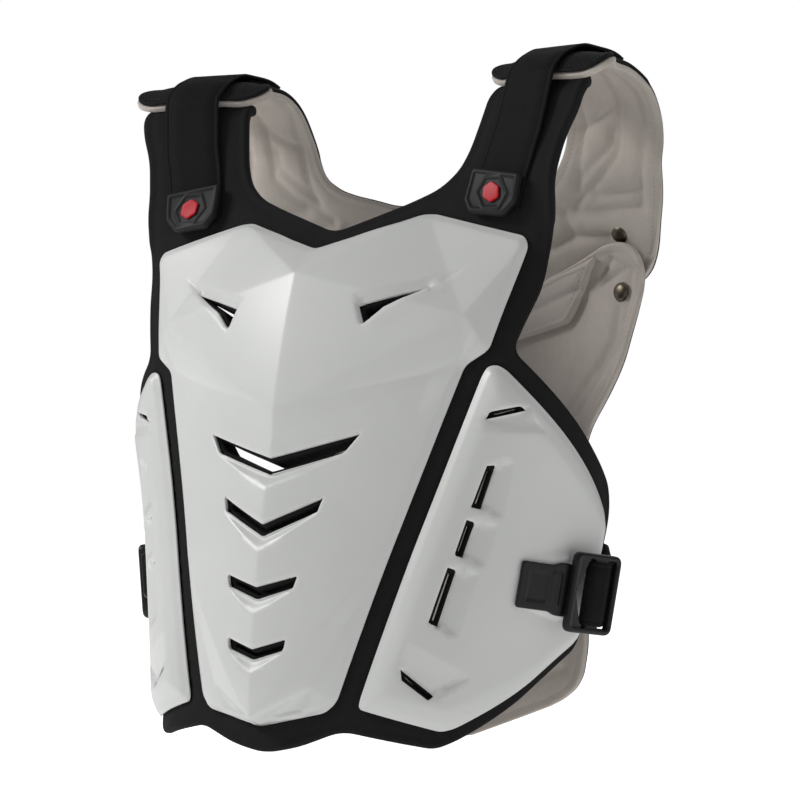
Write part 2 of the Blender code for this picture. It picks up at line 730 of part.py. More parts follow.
def shoulder_strap(label, side):
    """Webbing from the chest tab up and over the wing tip to its overlap at the crest,
    and the band under it that comes up the back."""
    low = WING_THICK + REST * 1.6 + STRAP_THICK / 2
    high = low + STRAP_THICK + REST
    tip = CREST + WING_RUN + TIP_RADIUS * TIP_REACH
    start, end = BAND_START * TORSO_HEIGHT, CREST + WING_RUN / 2
    band = []
    for k in range(BAND_STATIONS):
        t = k / (BAND_STATIONS - 1)
        band.append(on_wing(side, 0.70 + 0.03 * t, start + (end - start) * t, low))
    ribbon(f"strap_band_{label}", "webbing", band, BAND_WIDTH, STRAP_THICK)
    back_end = CREST - SHOULDER_RADIUS * 0.35
    strap = []
    for k in range(STRAP_STATIONS):
        t = k / (STRAP_STATIONS - 1)
        height = back_end + (tip - back_end) * t
        lift = high + (low - high) * smooth((t - 0.55) / 0.25)
        strap.append(on_wing(side, 0.735 - 0.015 * t, height, lift))
    seat = STRAP_THICK / 2 + REST * 1.6
    over, across = strap[-1]
    _, _, up, _ = frame_on(back_surface, side * 0.72 * HALF_GIRTH, tip)
    below = over + up * DROP_STEP
    pad_top, pad_across = on_chest(side, *STRAP_ON_CHEST[0][:2], seat + STRAP_THICK)
    for t in (0.0, 0.33, 0.66):
        strap.append((below.lerp(pad_top, t), across.lerp(pad_across, t)))
    strap.append((pad_top, pad_across))
    for out, height, lift in STRAP_ON_CHEST[1:]:
        strap.append(on_chest(side, out, height, seat + lift * STRAP_THICK))
    ribbon(f"shoulder_strap_{label}", "webbing", strap, STRAP_WIDTH, STRAP_THICK)


def shoulder_tab(label, side):
    base = STRAP_THICK + REST * 3
    outline = in_metres(SHOULDER_TAB_EDGE)
    add_panel(f"strap_tab_{label}", "rubber", front_surface, outline,
              base + TAB_THICK, base, side=side, step=0.012)
    centre = in_metres((BADGE_AT,))[0]
    badge = []
    for k in range(6):
        angle = math.radians(60 * k + 30)
        badge.append((centre[0] + BADGE_RADIUS * math.cos(angle),
                      centre[1] + BADGE_RADIUS * math.sin(angle)))
    top = base + TAB_THICK + GAP
    add_panel(f"tab_badge_{label}", "badge", front_surface, badge,
              top + BADGE_THICK, top, side=side, step=0.012)


def place(surface, side, place_at, offset):
    """Matrix at a place on a surface: X round the body, Y up, Z away from it."""
    out, height = place_at[0] * HALF_GIRTH * side, place_at[1] * TORSO_HEIGHT
    point, along, _, normal = frame_on(surface, out, height)
    along *= side
    up = normal.cross(along) * side
    matrix = Matrix.Identity(4)
    for column, vector in enumerate((along, up, normal)):
        matrix.col[column][:3] = vector
    matrix.translation = point + normal * offset
    return matrix


def prism(name, kind, outline, low, high, matrix, holes=()):
    """An outline with holes, drawn up between two heights and then placed."""
    flat, faces = flat_mesh(list(outline), [list(hole) for hole in holes], [], 1.0)
    count = len(flat)
    points = [matrix @ Vector((x, y, z)) for z in (high, low) for x, y in flat]
    walls = {}
    for face in faces:
        for a, b in zip(face, face[1:] + face[:1]):
            if walls.pop((b, a), None) is None:
                walls[(a, b)] = True
    solid = list(faces) + [tuple(i + count for i in reversed(face)) for face in faces]
    solid += [(b, a, a + count, b + count) for a, b in walls]
    add_solid(name, kind, points, solid)


def box_outline(x0, x1, y0, y1, cut):
    """A rectangle with cut corners."""
    return [
        (x0 + cut, y0), (x1 - cut, y0), (x1, y0 + cut), (x1, y1 - cut),
        (x1 - cut, y1), (x0 + cut, y1), (x0, y1 - cut), (x0, y0 + cut),
    ]


def buckle_openings(x0, x1, tall):
    """The two windows of the buckle frame, each side of the bar, and the bar's edges."""
    slot = tall - BUCKLE_BORDER
    bar0 = (x0 + x1 - BUCKLE_BAR) / 2 + BUCKLE_CORNER / 2
    bar1 = bar0 + BUCKLE_BAR
    front = [(x0 + BUCKLE_BORDER, 0.0), (bar0 - BUCKLE_CORNER, -slot), (bar0, -slot),
             (bar0, slot), (bar0 - BUCKLE_CORNER, slot)]
    inner = x1 - BUCKLE_BORDER
    rear = [(bar1, -slot), (inner, -slot), (inner, slot), (bar1, slot)]
    return (front, rear), bar0, bar1


def waist_buckle(label, side):
    """A tongue on the side shell, a frame over it and webbing round the frame's bar."""
    shell_face = SIDE_RISE + SIDE_SEAT + SHELL_WALL
    seat = place(front_surface, side, BUCKLE_AT, shell_face + GAP * 2)
    seat = seat @ Matrix.Rotation(math.radians(-BUCKLE_TILT), 4, "Z")
    half = TONGUE_WIDTH / 2
    outline = box_outline(0.0, TONGUE_LENGTH, -half, half, BUCKLE_CORNER)
    prism(f"buckle_tongue_{label}", "plastic", outline, 0.0, TONGUE_THICK, seat)
    dip = (TONGUE_LENGTH - BUCKLE_START) * math.tan(math.radians(BUCKLE_FOLD))
    hinge = Matrix.Translation((BUCKLE_START, 0.0, TONGUE_THICK + dip + GAP))
    frame = seat @ hinge @ Matrix.Rotation(math.radians(BUCKLE_FOLD), 4, "Y")
    x0, x1 = 0.0, BUCKLE_LENGTH
    tall = WAIST_WEB_WIDTH / 2 + BUCKLE_PLAY + BUCKLE_BORDER
    windows, bar0, bar1 = buckle_openings(x0, x1, tall)
    prism(f"buckle_frame_{label}", "plastic",
          box_outline(x0, x1, -tall, tall, BUCKLE_CORNER),
          0.0, BUCKLE_THICK, frame, holes=windows)
    turn = GAP * 2 + STRAP_THICK / 2
    over = BUCKLE_THICK + turn
    loop = [
        (bar0 - turn, BUCKLE_THICK * 0.1), (bar0 - turn, BUCKLE_THICK * 0.75),
        (bar0 - turn * 0.4, over - GAP), (bar0 + turn * 0.8, over),
        (bar1 - turn * 0.8, over), (bar1 + turn * 0.4, over - GAP),
        (bar1 + turn, BUCKLE_THICK * 0.75), (bar1 + turn, BUCKLE_THICK * 0.1),
        (bar1 + turn * 1.6, -turn), (x1 + BUCKLE_BORDER, -turn * 2.0),
    ]
    across = frame.to_3x3() @ Vector((0.0, 1.0, 0.0))
    stations = [(frame @ Vector((x, 0.0, z)), across) for x, z in loop]
    level = BUCKLE_AT[1] * TORSO_HEIGHT
    rest = REST + STRAP_THICK / 2 - YOKE_SPACING
    upright = Vector((0.0, 0.0, 1.0))
    near = on_wing(side, 0.64, level, rest + STRAP_THICK * 2.5)[0]
    for t in (0.33, 0.66):
        stations.append((frame @ Vector((x1 + BUCKLE_BORDER, 0.0, -turn * 2.0)), upright))
        stations[-1] = (stations[-1][0].lerp(near, t), upright)
    stations.append((near, upright))
    for out in (0.56, 0.50, 0.44, 0.38):
        stations.append((on_wing(side, out, level, rest)[0], upright))
    ribbon(f"waist_strap_{label}", "webbing", stations, WAIST_WEB_WIDTH, STRAP_THICK)


def snap(name, surface, side, at, offset, outward):
    """A round cap: a low dome on a short rim, standing on a panel."""
    matrix = place(surface, side, at, offset)
    points, faces = [], []
    for height, radius in SNAP_PROFILE:
        for k in range(SNAP_SIDES):
            angle = 2 * math.pi * k / SNAP_SIDES
            points.append(matrix @ Vector((
                SNAP_RADIUS * radius * math.cos(angle),
                SNAP_RADIUS * radius * math.sin(angle),
                SNAP_HEIGHT * height * outward,
            )))
    top = len(points)
    points.append(matrix @ Vector((0.0, 0.0, SNAP_HEIGHT * outward)))
    faces.append(tuple(range(SNAP_SIDES)))
    last = (len(SNAP_PROFILE) - 1) * SNAP_SIDES
    for k in range(SNAP_SIDES):
        after = (k + 1) % SNAP_SIDES
        for ring in range(0, last, SNAP_SIDES):
            a, b = ring + k, ring + after
            faces.append((a, a + SNAP_SIDES, b + SNAP_SIDES, b))
        faces.append((last + k, top, last + after))
    add_solid(name, "snap", points, faces)


def make_snaps(label, side):
    snap(f"snap_upper_{label}", back_surface, side, SNAP_ON_UPPER, -REST, -1)
    face = -YOKE_SPACING - BACK_THICK - GAP - LINING_THICK - REST
    snap(f"snap_lower_{label}", back_surface, side, SNAP_ON_LOWER, face, -1)


clear_scene()
make_front()
make_back()
for label, side in (("left", 1), ("right", -1)):
    shoulder_strap(label, side)
    shoulder_tab(label, side)
    waist_buckle(label, side)
    make_snaps(label, side)
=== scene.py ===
"""Motorcycle armour vest, dressed for the render: satin white moulded shells on a black
padded front, a padded back with grey linings, webbing straps, buckles and snaps.

Metres, +Z up, in the frame of the CAD. The wearer faces -Y, so +X is the wearer's left.
"""

import math

import bmesh
import bpy
import numpy as np
from mathutils import Matrix, Vector
from mathutils.geometry import delaunay_2d_cdt


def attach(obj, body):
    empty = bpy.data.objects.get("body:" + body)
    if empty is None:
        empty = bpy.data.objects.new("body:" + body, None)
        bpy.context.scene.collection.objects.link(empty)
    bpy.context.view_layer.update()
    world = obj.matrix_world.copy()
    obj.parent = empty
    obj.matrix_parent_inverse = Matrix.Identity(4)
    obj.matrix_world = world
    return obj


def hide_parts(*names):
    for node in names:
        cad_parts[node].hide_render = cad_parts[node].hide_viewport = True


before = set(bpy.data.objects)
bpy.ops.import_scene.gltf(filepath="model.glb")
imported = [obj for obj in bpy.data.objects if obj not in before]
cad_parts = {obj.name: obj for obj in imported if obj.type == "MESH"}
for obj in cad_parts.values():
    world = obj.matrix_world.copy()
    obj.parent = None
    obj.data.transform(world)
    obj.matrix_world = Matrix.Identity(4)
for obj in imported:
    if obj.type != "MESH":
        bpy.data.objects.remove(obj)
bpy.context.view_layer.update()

# Driving sizes of the torso, as in the CAD
TORSO_HEIGHT = 0.500      # unit of the heights in the tables, from the hem level
SEAT_HEIGHT = 0.488       # hem level to the inside of the shoulder wings
TORSO_DEPTH = 0.300
HALF_GIRTH = 0.200        # unit of the widths in the tables
SHOULDER_RADIUS = 0.050
WING_RUN = 0.032
TIP_RADIUS = 0.045
WING_MIDDLE = 0.73
WING_TURN = 0.22
WING_CAMBER = 0.003
TAB_RADIUS = 0.024
ROLL_HEIGHT = SEAT_HEIGHT - SHOULDER_RADIUS
CREST = ROLL_HEIGHT + SHOULDER_RADIUS * math.pi / 2

# Walls and layers
PAD_THICK = 0.008
SHELL_WALL = 0.003
FACE_RISE = 0.0006        # crown of a shell's face over its flat wall
CORE_RISE = 0.0275
SIDE_RISE = 0.004
CHIN_DEPTH = 0.006
SEAT = 0.0008
SIDE_SEAT = 0.0006
SINK = 0.0008
GAP = 0.0003
REST = 0.0008
LINING_THICK = 0.0028
BACK_THICK = 0.0032
FLAP_THICK = 0.009
YOKE_SPACING = 0.005
WING_THICK = LINING_THICK + GAP + BACK_THICK
BORDER_WIDTH = 0.0050     # bevelled border round each shell
BORDER_DROP = 0.0022
HOLE_INSET = 0.0024       # how much smaller the pad's holes are than the shells' slots

# Straps, tabs, buckles and snaps
STRAP_WIDTH = 0.0425
STRAP_THICK = 0.0022
BAND_WIDTH = 0.038
WAIST_WEB_WIDTH = 0.044
TAB_THICK = 0.005
BADGE_THICK = 0.0012
BADGE_RADIUS = 0.0075
BUCKLE_LENGTH = 0.046
BUCKLE_BORDER = 0.0045
BUCKLE_THICK = 0.005
BUCKLE_BAR = 0.013
BUCKLE_CORNER = 0.004
BUCKLE_PLAY = 0.0012
BUCKLE_START = 0.037
BUCKLE_TILT = 8.0
BUCKLE_FOLD = 14.0
TONGUE_LENGTH = 0.040
TONGUE_WIDTH = 0.032
TONGUE_THICK = 0.0035
SNAP_RADIUS = 0.0075
SNAP_HEIGHT = 0.0039

# Sections of the front. Columns: height, depth at the middle, bend over one half girth,
# half girth before the corner, corner radius
FRONT_SECTIONS = (
    (0.000, -0.613, 1.00, 0.350, 0.500),
    (0.146, -0.590, 0.96, 0.400, 0.550),
    (0.310, -0.547, 0.86, 0.500, 0.630),
    (0.556, -0.440, 0.44, 0.700, 0.450),
    (0.720, -0.327, 0.22, 0.750, 0.450),
    (0.800, -0.230, -0.20, 1.200, 0.450),
    (0.918, -0.150, -0.30, 1.300, 0.450),
)
# Sections of the back. Columns: height, depth at the middle, bend over one half girth
BACK_SECTIONS = (
    (0.000, 0.363, 0.77),
    (0.130, 0.373, 0.82),
    (0.426, 0.380, 0.82),
    (0.580, 0.390, 0.60),
    (0.700, 0.363, 0.32),
    (0.780, 0.280, 0.16),
    (0.840, 0.215, 0.08),
    (0.882, 0.200, 0.00),
)

# Right-hand halves of the flat outlines: distance out and height, as shares
PAD_EDGE = (
    (0.000, 0.742), (0.270, 0.782), (0.375, 0.800), (0.440, 0.825), (0.470, 0.854),
    (0.495, 0.898), (0.515, 0.940), (0.545, 0.992), (0.880, 0.994), (0.922, 0.978), (0.935, 0.945),
    (0.918, 0.905), (0.870, 0.862), (0.843, 0.806), (0.848, 0.728), (0.842, 0.654),
    (0.795, 0.601), (0.768, 0.566), (1.150, 0.430), (1.300, 0.382), (1.345, 0.344),
    (1.350, 0.292), (1.350, 0.190), (1.330, 0.150), (0.690, 0.038), (0.615, 0.028),
    (0.285, 0.053), (0.130, 0.030), (0.000, 0.020),
)
SHELL_EDGE = (
    (0.000, 0.700), (0.360, 0.756), (0.400, 0.757), (0.755, 0.722), (0.772, 0.708),
    (0.690, 0.565), (0.613, 0.544), (0.430, 0.302), (0.272, 0.092), (0.235, 0.077),
    (0.000, 0.056),
)
SIDE_EDGE = (
    (0.674, 0.530), (0.690, 0.543), (0.723, 0.545), (0.755, 0.538), (1.270, 0.346),
    (1.298, 0.328), (1.305, 0.293), (1.305, 0.182), (1.285, 0.162), (0.672, 0.056),
    (0.625, 0.052), (0.345, 0.083), (0.350, 0.096), (0.512, 0.316),
)
UPPER_BACK_EDGE = (
    (0.000, 0.802), (0.250, 0.806), (0.320, 0.815), (0.405, 0.824), (0.460, 0.833),
    (0.500, 0.847), (0.525, 0.864), (0.540, 0.882), (0.562, 0.924), (0.566, 1.039),
    (0.540, 1.080), (0.490, 1.112), (0.470, 1.134), (0.490, 1.156), (0.550, 1.170),
    (0.880, 1.176), (0.960, 1.166), (0.995, 1.142), (0.975, 1.110), (0.915, 1.075),
    (0.890, 1.039), (0.900, 1.000), (0.925, 0.960), (0.930, 0.900), (0.915, 0.814),
    (0.840, 0.722), (0.800, 0.692), (0.700, 0.664), (0.300, 0.610), (0.000, 0.600),
)
LOWER_BACK_EDGE = (
    (0.000, 0.640), (0.300, 0.682), (0.580, 0.732), (0.650, 0.745), (0.735, 0.747),
    (0.795, 0.732), (0.822, 0.696), (0.824, 0.670), (0.802, 0.623), (0.757, 0.554),
    (0.692, 0.506), (0.600, 0.455), (0.570, 0.400), (0.570, 0.260), (0.592, 0.200),
    (0.610, 0.150), (0.575, 0.087), (0.480, 0.062), (0.410, 0.050), (0.000, -0.006),
)
FLAP_EDGE = (
    (0.000, 0.628), (0.300, 0.680), (0.630, 0.735), (0.578, 0.684), (0.530, 0.642),
    (0.495, 0.620), (0.198, 0.596), (0.000, 0.566),
)
SHOULDER_TAB_EDGE = (
    (0.537, 0.816), (0.746, 0.804), (0.730, 0.768), (0.680, 0.747), (0.550, 0.751),
    (0.522, 0.768),
)

# Corners of the front shell's facets: distance out, height, share of CORE_RISE
FACET_POINTS = {
    "neck": (0.000, 0.700, 0.46),
    "peak": (0.385, 0.758, 0.00),
    "shoulder": (0.775, 0.716, 0.00),
    "chest_corner": (0.690, 0.562, 0.00),
    "notch": (0.613, 0.544, 0.00),
    "ridge_top": (0.000, 0.652, 1.00),
    "ridge_foot": (0.000, 0.470, 0.84),
    "brow": (0.600, 0.606, 0.32),
    "step": (0.000, 0.440, 0.70),
    "waist": (0.430, 0.302, 0.00),
    "toe_side": (0.190, 0.110, 0.10),
    "hip": (0.270, 0.088, 0.00),
    "toe": (0.000, 0.066, 0.58),
    "hem": (0.000, 0.056, 0.00),
}
FACETS = (
    ("neck", "peak", "ridge_top"),
    ("peak", "shoulder", "brow"),
    ("peak", "brow", "ridge_top"),
    ("ridge_top", "brow", "ridge_foot"),
    ("shoulder", "chest_corner", "brow"),
    ("chest_corner", "notch", "brow"),
    ("brow", "notch", "ridge_foot"),
    ("ridge_foot", "notch", "step"),
    ("step", "notch", "waist"),
    ("step", "waist", "toe"),
    ("waist", "toe_side", "toe"),
    ("waist", "hip", "toe_side"),
    ("toe_side", "hip", "hem"),
    ("toe", "toe_side", "hem"),
)
# V slots of the front shell. Columns: tip out, tip height, lower corner out, its height,
# middle top, middle bottom, middle of the chin below
FRONT_SLOTS = (
    (0.292, 0.447, 0.245, 0.421, 0.409, 0.388, 0.368),
    (0.190, 0.360, 0.176, 0.341, 0.321, 0.305, 0.285),
    (0.132, 0.256, 0.121, 0.240, 0.239, 0.223, 0.203),
    (0.108, 0.172, 0.102, 0.157, 0.157, 0.143, 0.124),
)
SIDE_SLOTS = (
    ((0.700, 0.471), (0.711, 0.481), (0.808, 0.490), (0.829, 0.484)),
    ((0.713, 0.409), (0.743, 0.410), (0.705, 0.350), (0.672, 0.353)),
    ((0.661, 0.336), (0.690, 0.332), (0.659, 0.285), (0.630, 0.288)),
    ((0.612, 0.272), (0.642, 0.268), (0.591, 0.193), (0.560, 0.198)),
    ((0.480, 0.136), (0.485, 0.122), (0.572, 0.095), (0.590, 0.101)),
)
SEAT_FOOT = ((0.820, 0.222), (1.052, 0.200), (1.052, 0.296), (0.820, 0.294))
SEAT_FACE = ((0.845, 0.226), (1.036, 0.209), (1.036, 0.287), (0.845, 0.285))
STRAP_ON_CHEST = (
    (0.692, 0.872, 1.20), (0.682, 0.860, 0.80), (0.671, 0.845, 0.40),
    (0.661, 0.830, 0.10), (0.650, 0.814, 0.00), (0.640, 0.797, 0.00),
    (0.630, 0.781, 0.00), (0.622, 0.764, 0.00),
)
TIP_REACH = 0.72          # how far round the wing's front bend a strap lies, in radians
DROP_STEP = 0.008         # from there to where the strap leaves the wing
BAND_START = 0.72         # height where the band on the back begins, as a share
BAND_STATIONS = 19
STRAP_STATIONS = 15

# Places on the panels: distance out, height
BUCKLE_AT = (0.850, 0.252)
SNAP_ON_UPPER = (0.700, 0.751)
SNAP_ON_LOWER = (0.725, 0.663)
BADGE_AT = (0.633, 0.779)


def smooth(value):
    value = np.clip(value, 0.0, 1.0)
    return value * value * (3 - 2 * value)


def curve_through(rows, share):
    """Each column of a section table at the given heights, on a smooth curve."""
    rows = np.array(rows)
    share = np.clip(share, rows[0, 0], rows[-1, 0])
    i = np.clip(np.searchsorted(rows[:, 0], share) - 1, 0, len(rows) - 2)
    low = np.maximum(np.arange(len(rows)) - 1, 0)
    high = np.minimum(np.arange(len(rows)) + 1, len(rows) - 1)
    slope = (rows[high] - rows[low]) / (rows[high, :1] - rows[low, :1])
    span = rows[i + 1, 0] - rows[i, 0]
    t = (share - rows[i, 0]) / span
    found = []
    for k in range(1, rows.shape[1]):
        found.append(
            (2 * t**3 - 3 * t**2 + 1) * rows[i, k]
            + (t**3 - 2 * t**2 + t) * span * slope[i, k]
            + (3 * t**2 - 2 * t**3) * rows[i + 1, k]
            + (t**3 - t**2) * span * slope[i + 1, k]
        )
    return found


def front_surface(out, height):
    """Outer face of the front pad where it has no raised core."""
    roll = FRONT_SECTIONS[-1][0] * TORSO_HEIGHT
    level = np.minimum(height, roll)
    depth, bend, half, corner = curve_through(FRONT_SECTIONS, level / TORSO_HEIGHT)
    bend, half, corner = bend / HALF_GIRTH, half * HALF_GIRTH, corner * HALF_GIRTH
    bend = np.where(np.abs(bend) < 1e-6, 1e-6, bend)
    away = np.abs(out)
    flat = np.minimum(away, half)
    across, inward = np.sin(bend * flat) / bend, (1 - np.cos(bend * flat)) / bend
    start = bend * half
    angle = np.minimum(start + np.maximum(away - half, 0.0) / corner, math.pi / 2)
    bent = away > half
    across = across + np.where(bent, corner * (np.sin(angle) - np.sin(start)), 0.0)
    inward = inward + np.where(bent, corner * (np.cos(start) - np.cos(angle)), 0.0)
    straight = np.maximum(0.0, away - half - corner * (math.pi / 2 - start))
    inward = inward + np.where(bent, straight, 0.0)
    y, z = depth * TORSO_DEPTH + inward, level
    last, before = FRONT_SECTIONS[-1], FRONT_SECTIONS[-2]
    lean = math.atan((last[1] - before[1]) * TORSO_DEPTH / ((last[0] - before[0]) * TORSO_HEIGHT))
    above = np.maximum(0.0, height - roll)
    turn = np.minimum(lean + above / TAB_RADIUS, math.pi / 2)
    y = y + TAB_RADIUS * (math.cos(lean) - np.cos(turn))
    z = z + TAB_RADIUS * (np.sin(turn) - math.sin(lean))
    y = y + np.maximum(0.0, above - TAB_RADIUS * (math.pi / 2 - lean))
    return np.stack((np.sign(out) * across, y, z - SEAT_HEIGHT), axis=-1)


def back_surface(out, height):
    """Face of the upper back that lies on the body, wings included."""
    level = np.minimum(height, ROLL_HEIGHT)
    depth, bend = curve_through(BACK_SECTIONS, level / TORSO_HEIGHT)
    y = depth * TORSO_DEPTH - bend / HALF_GIRTH * out * out / 2
    along = height - CREST
    turn = np.maximum(0.0, along - WING_RUN) / TIP_RADIUS
    lean = np.clip((height - ROLL_HEIGHT) / SHOULDER_RADIUS, 0.0, math.pi / 2)
    top = height > CREST
    y = y - np.where(top, SHOULDER_RADIUS + np.clip(along, 0.0, WING_RUN) + TIP_RADIUS * np.sin(turn),
                     SHOULDER_RADIUS * (1 - np.cos(lean)))
    z = level + np.where(top, SHOULDER_RADIUS - TIP_RADIUS * (1 - np.cos(turn)),
                         SHOULDER_RADIUS * np.sin(lean))
    lean = np.where(top, math.pi / 2 + turn, lean)
    side = np.clip((np.abs(out) / HALF_GIRTH - WING_MIDDLE) / 0.18, -1.0, 1.0)
    drop = WING_CAMBER * side * side * smooth((height / TORSO_HEIGHT - 0.80) / 0.16)
    y = y - drop * np.cos(lean)
    z = z - drop * np.sin(lean)
    forward = smooth((height - CREST) / (WING_RUN * 2))
    y = y - WING_TURN * forward * (np.abs(out) - WING_MIDDLE * HALF_GIRTH)
    return np.stack((out, y, z - SEAT_HEIGHT), axis=-1)


def normals_on(surface, out, height):
    step = 0.0005
    along = surface(out + step, height) - surface(out - step, height)
    up = surface(out, height + step) - surface(out, height - step)
    normal = np.cross(along, up)
    normal /= np.linalg.norm(normal, axis=-1, keepdims=True)
    return -normal if surface is back_surface else normal

def in_metres(shares):
    return [(u * HALF_GIRTH, v * TORSO_HEIGHT) for u, v in shares]


def both_sides(half):
    """Closed outline from its right-hand half, which starts and ends at the middle."""
    left = [(-u, v) for u, v in reversed(half) if u > 0]
    return in_metres(tuple(half) + tuple(left))


def mirrored(outline):
    return [(-u, v) for u, v in reversed(outline)]


def rounded(outline, radius, arc=6):
    """The closed outline with each corner cut back to a smooth arc."""
    points = np.array(outline)
    before, after = np.roll(points, 1, axis=0), np.roll(points, -1, axis=0)
    found = []
    for here, last, following in zip(points, before, after):
        back, on = last - here, following - here
        reach = min(radius, 0.45 * np.linalg.norm(back), 0.45 * np.linalg.norm(on))
        a = here + back / max(np.linalg.norm(back), 1e-9) * reach
        b = here + on / max(np.linalg.norm(on), 1e-9) * reach
        for t in np.linspace(0.0, 1.0, arc):
            found.append((1 - t) ** 2 * a + 2 * t * (1 - t) * here + t * t * b)
    return np.array(found)


def spaced(points, step, closed=True):
    """The line at even spacing of about one step."""
    points = np.asarray(points, float)
    if closed:
        points = np.vstack((points, points[:1]))
    length = np.concatenate(([0.0], np.cumsum(np.linalg.norm(np.diff(points, axis=0), axis=1))))
    count = max(3, round(length[-1] / step))
    at = np.linspace(0.0, length[-1], count + 1)
    if closed:
        at = at[:-1]
    return np.stack([np.interp(at, length, points[:, k]) for k in range(points.shape[1])], -1)


def inside(points, outline):
    outline = np.asarray(outline)
    odd = np.zeros(len(points), bool)
    x, y = points[:, 0], points[:, 1]
    for (ax, ay), (bx, by) in zip(outline, np.roll(outline, -1, axis=0)):
        crosses = (ay > y) != (by > y)
        if crosses.any():
            odd ^= crosses & (x < (bx - ax) * (y - ay) / (by - ay + 1e-30) + ax)
    return odd


def segments_of(outline, closed=True):
    outline = np.asarray(outline, float)
    if closed:
        return np.stack((outline, np.roll(outline, -1, axis=0)), axis=1)
    return np.stack((outline[:-1], outline[1:]), axis=1)


def distance_to(points, segments):
    """Distance from each point to the nearest of the segments."""
    nearest = np.full(len(points), 1.0)
    for a, b in segments:
        span = b - a
        t = np.clip(((points - a) @ span) / max(span @ span, 1e-18), 0.0, 1.0)
        away = np.hypot(points[:, 0] - a[0] - t * span[0], points[:, 1] - a[1] - t * span[1])
        np.minimum(nearest, away, out=nearest)
    return nearest


def weights(points, a, b, c):
    """Barycentric weights of the points in a flat triangle."""
    det = (b[1] - c[1]) * (a[0] - c[0]) + (c[0] - b[0]) * (a[1] - c[1])
    x, y = points[:, 0] - c[0], points[:, 1] - c[1]
    first = ((b[1] - c[1]) * x + (c[0] - b[0]) * y) / det
    second = ((c[1] - a[1]) * x + (a[0] - c[0]) * y) / det
    return np.stack((first, second, 1 - first - second))


def on_facets(points, corners, facets, spread=False):
    """Height at each point on flat facets between named or numbered corners."""
    best, found = np.full(len(points), -1e9), np.zeros(len(points))
    for names in facets:
        rows = [corners[n] for n in names]
        shares = weights(points, *rows)
        least = shares.min(axis=0)
        better = (least > best) if spread else (least >= -1e-6) & (best < 0)
        height = shares[0] * rows[0][2] + shares[1] * rows[1][2] + shares[2] * rows[2][2]
        found = np.where(better, height, found)
        best = np.where(better, np.maximum(least, best), best)
    return found


def softened(field, radius):
    """The field averaged over a small ring, which rounds its creases."""
    turns = [(0.0, 0.0)] * 2
    for k in range(8):
        angle = math.pi * k / 4
        turns.append((radius * math.cos(angle), radius * math.sin(angle)))
        turns.append((radius * 0.5 * math.cos(angle), radius * 0.5 * math.sin(angle)))

    def averaged(points):
        return sum(field(points + np.array(turn)) for turn in turns) / len(turns)

    return averaged


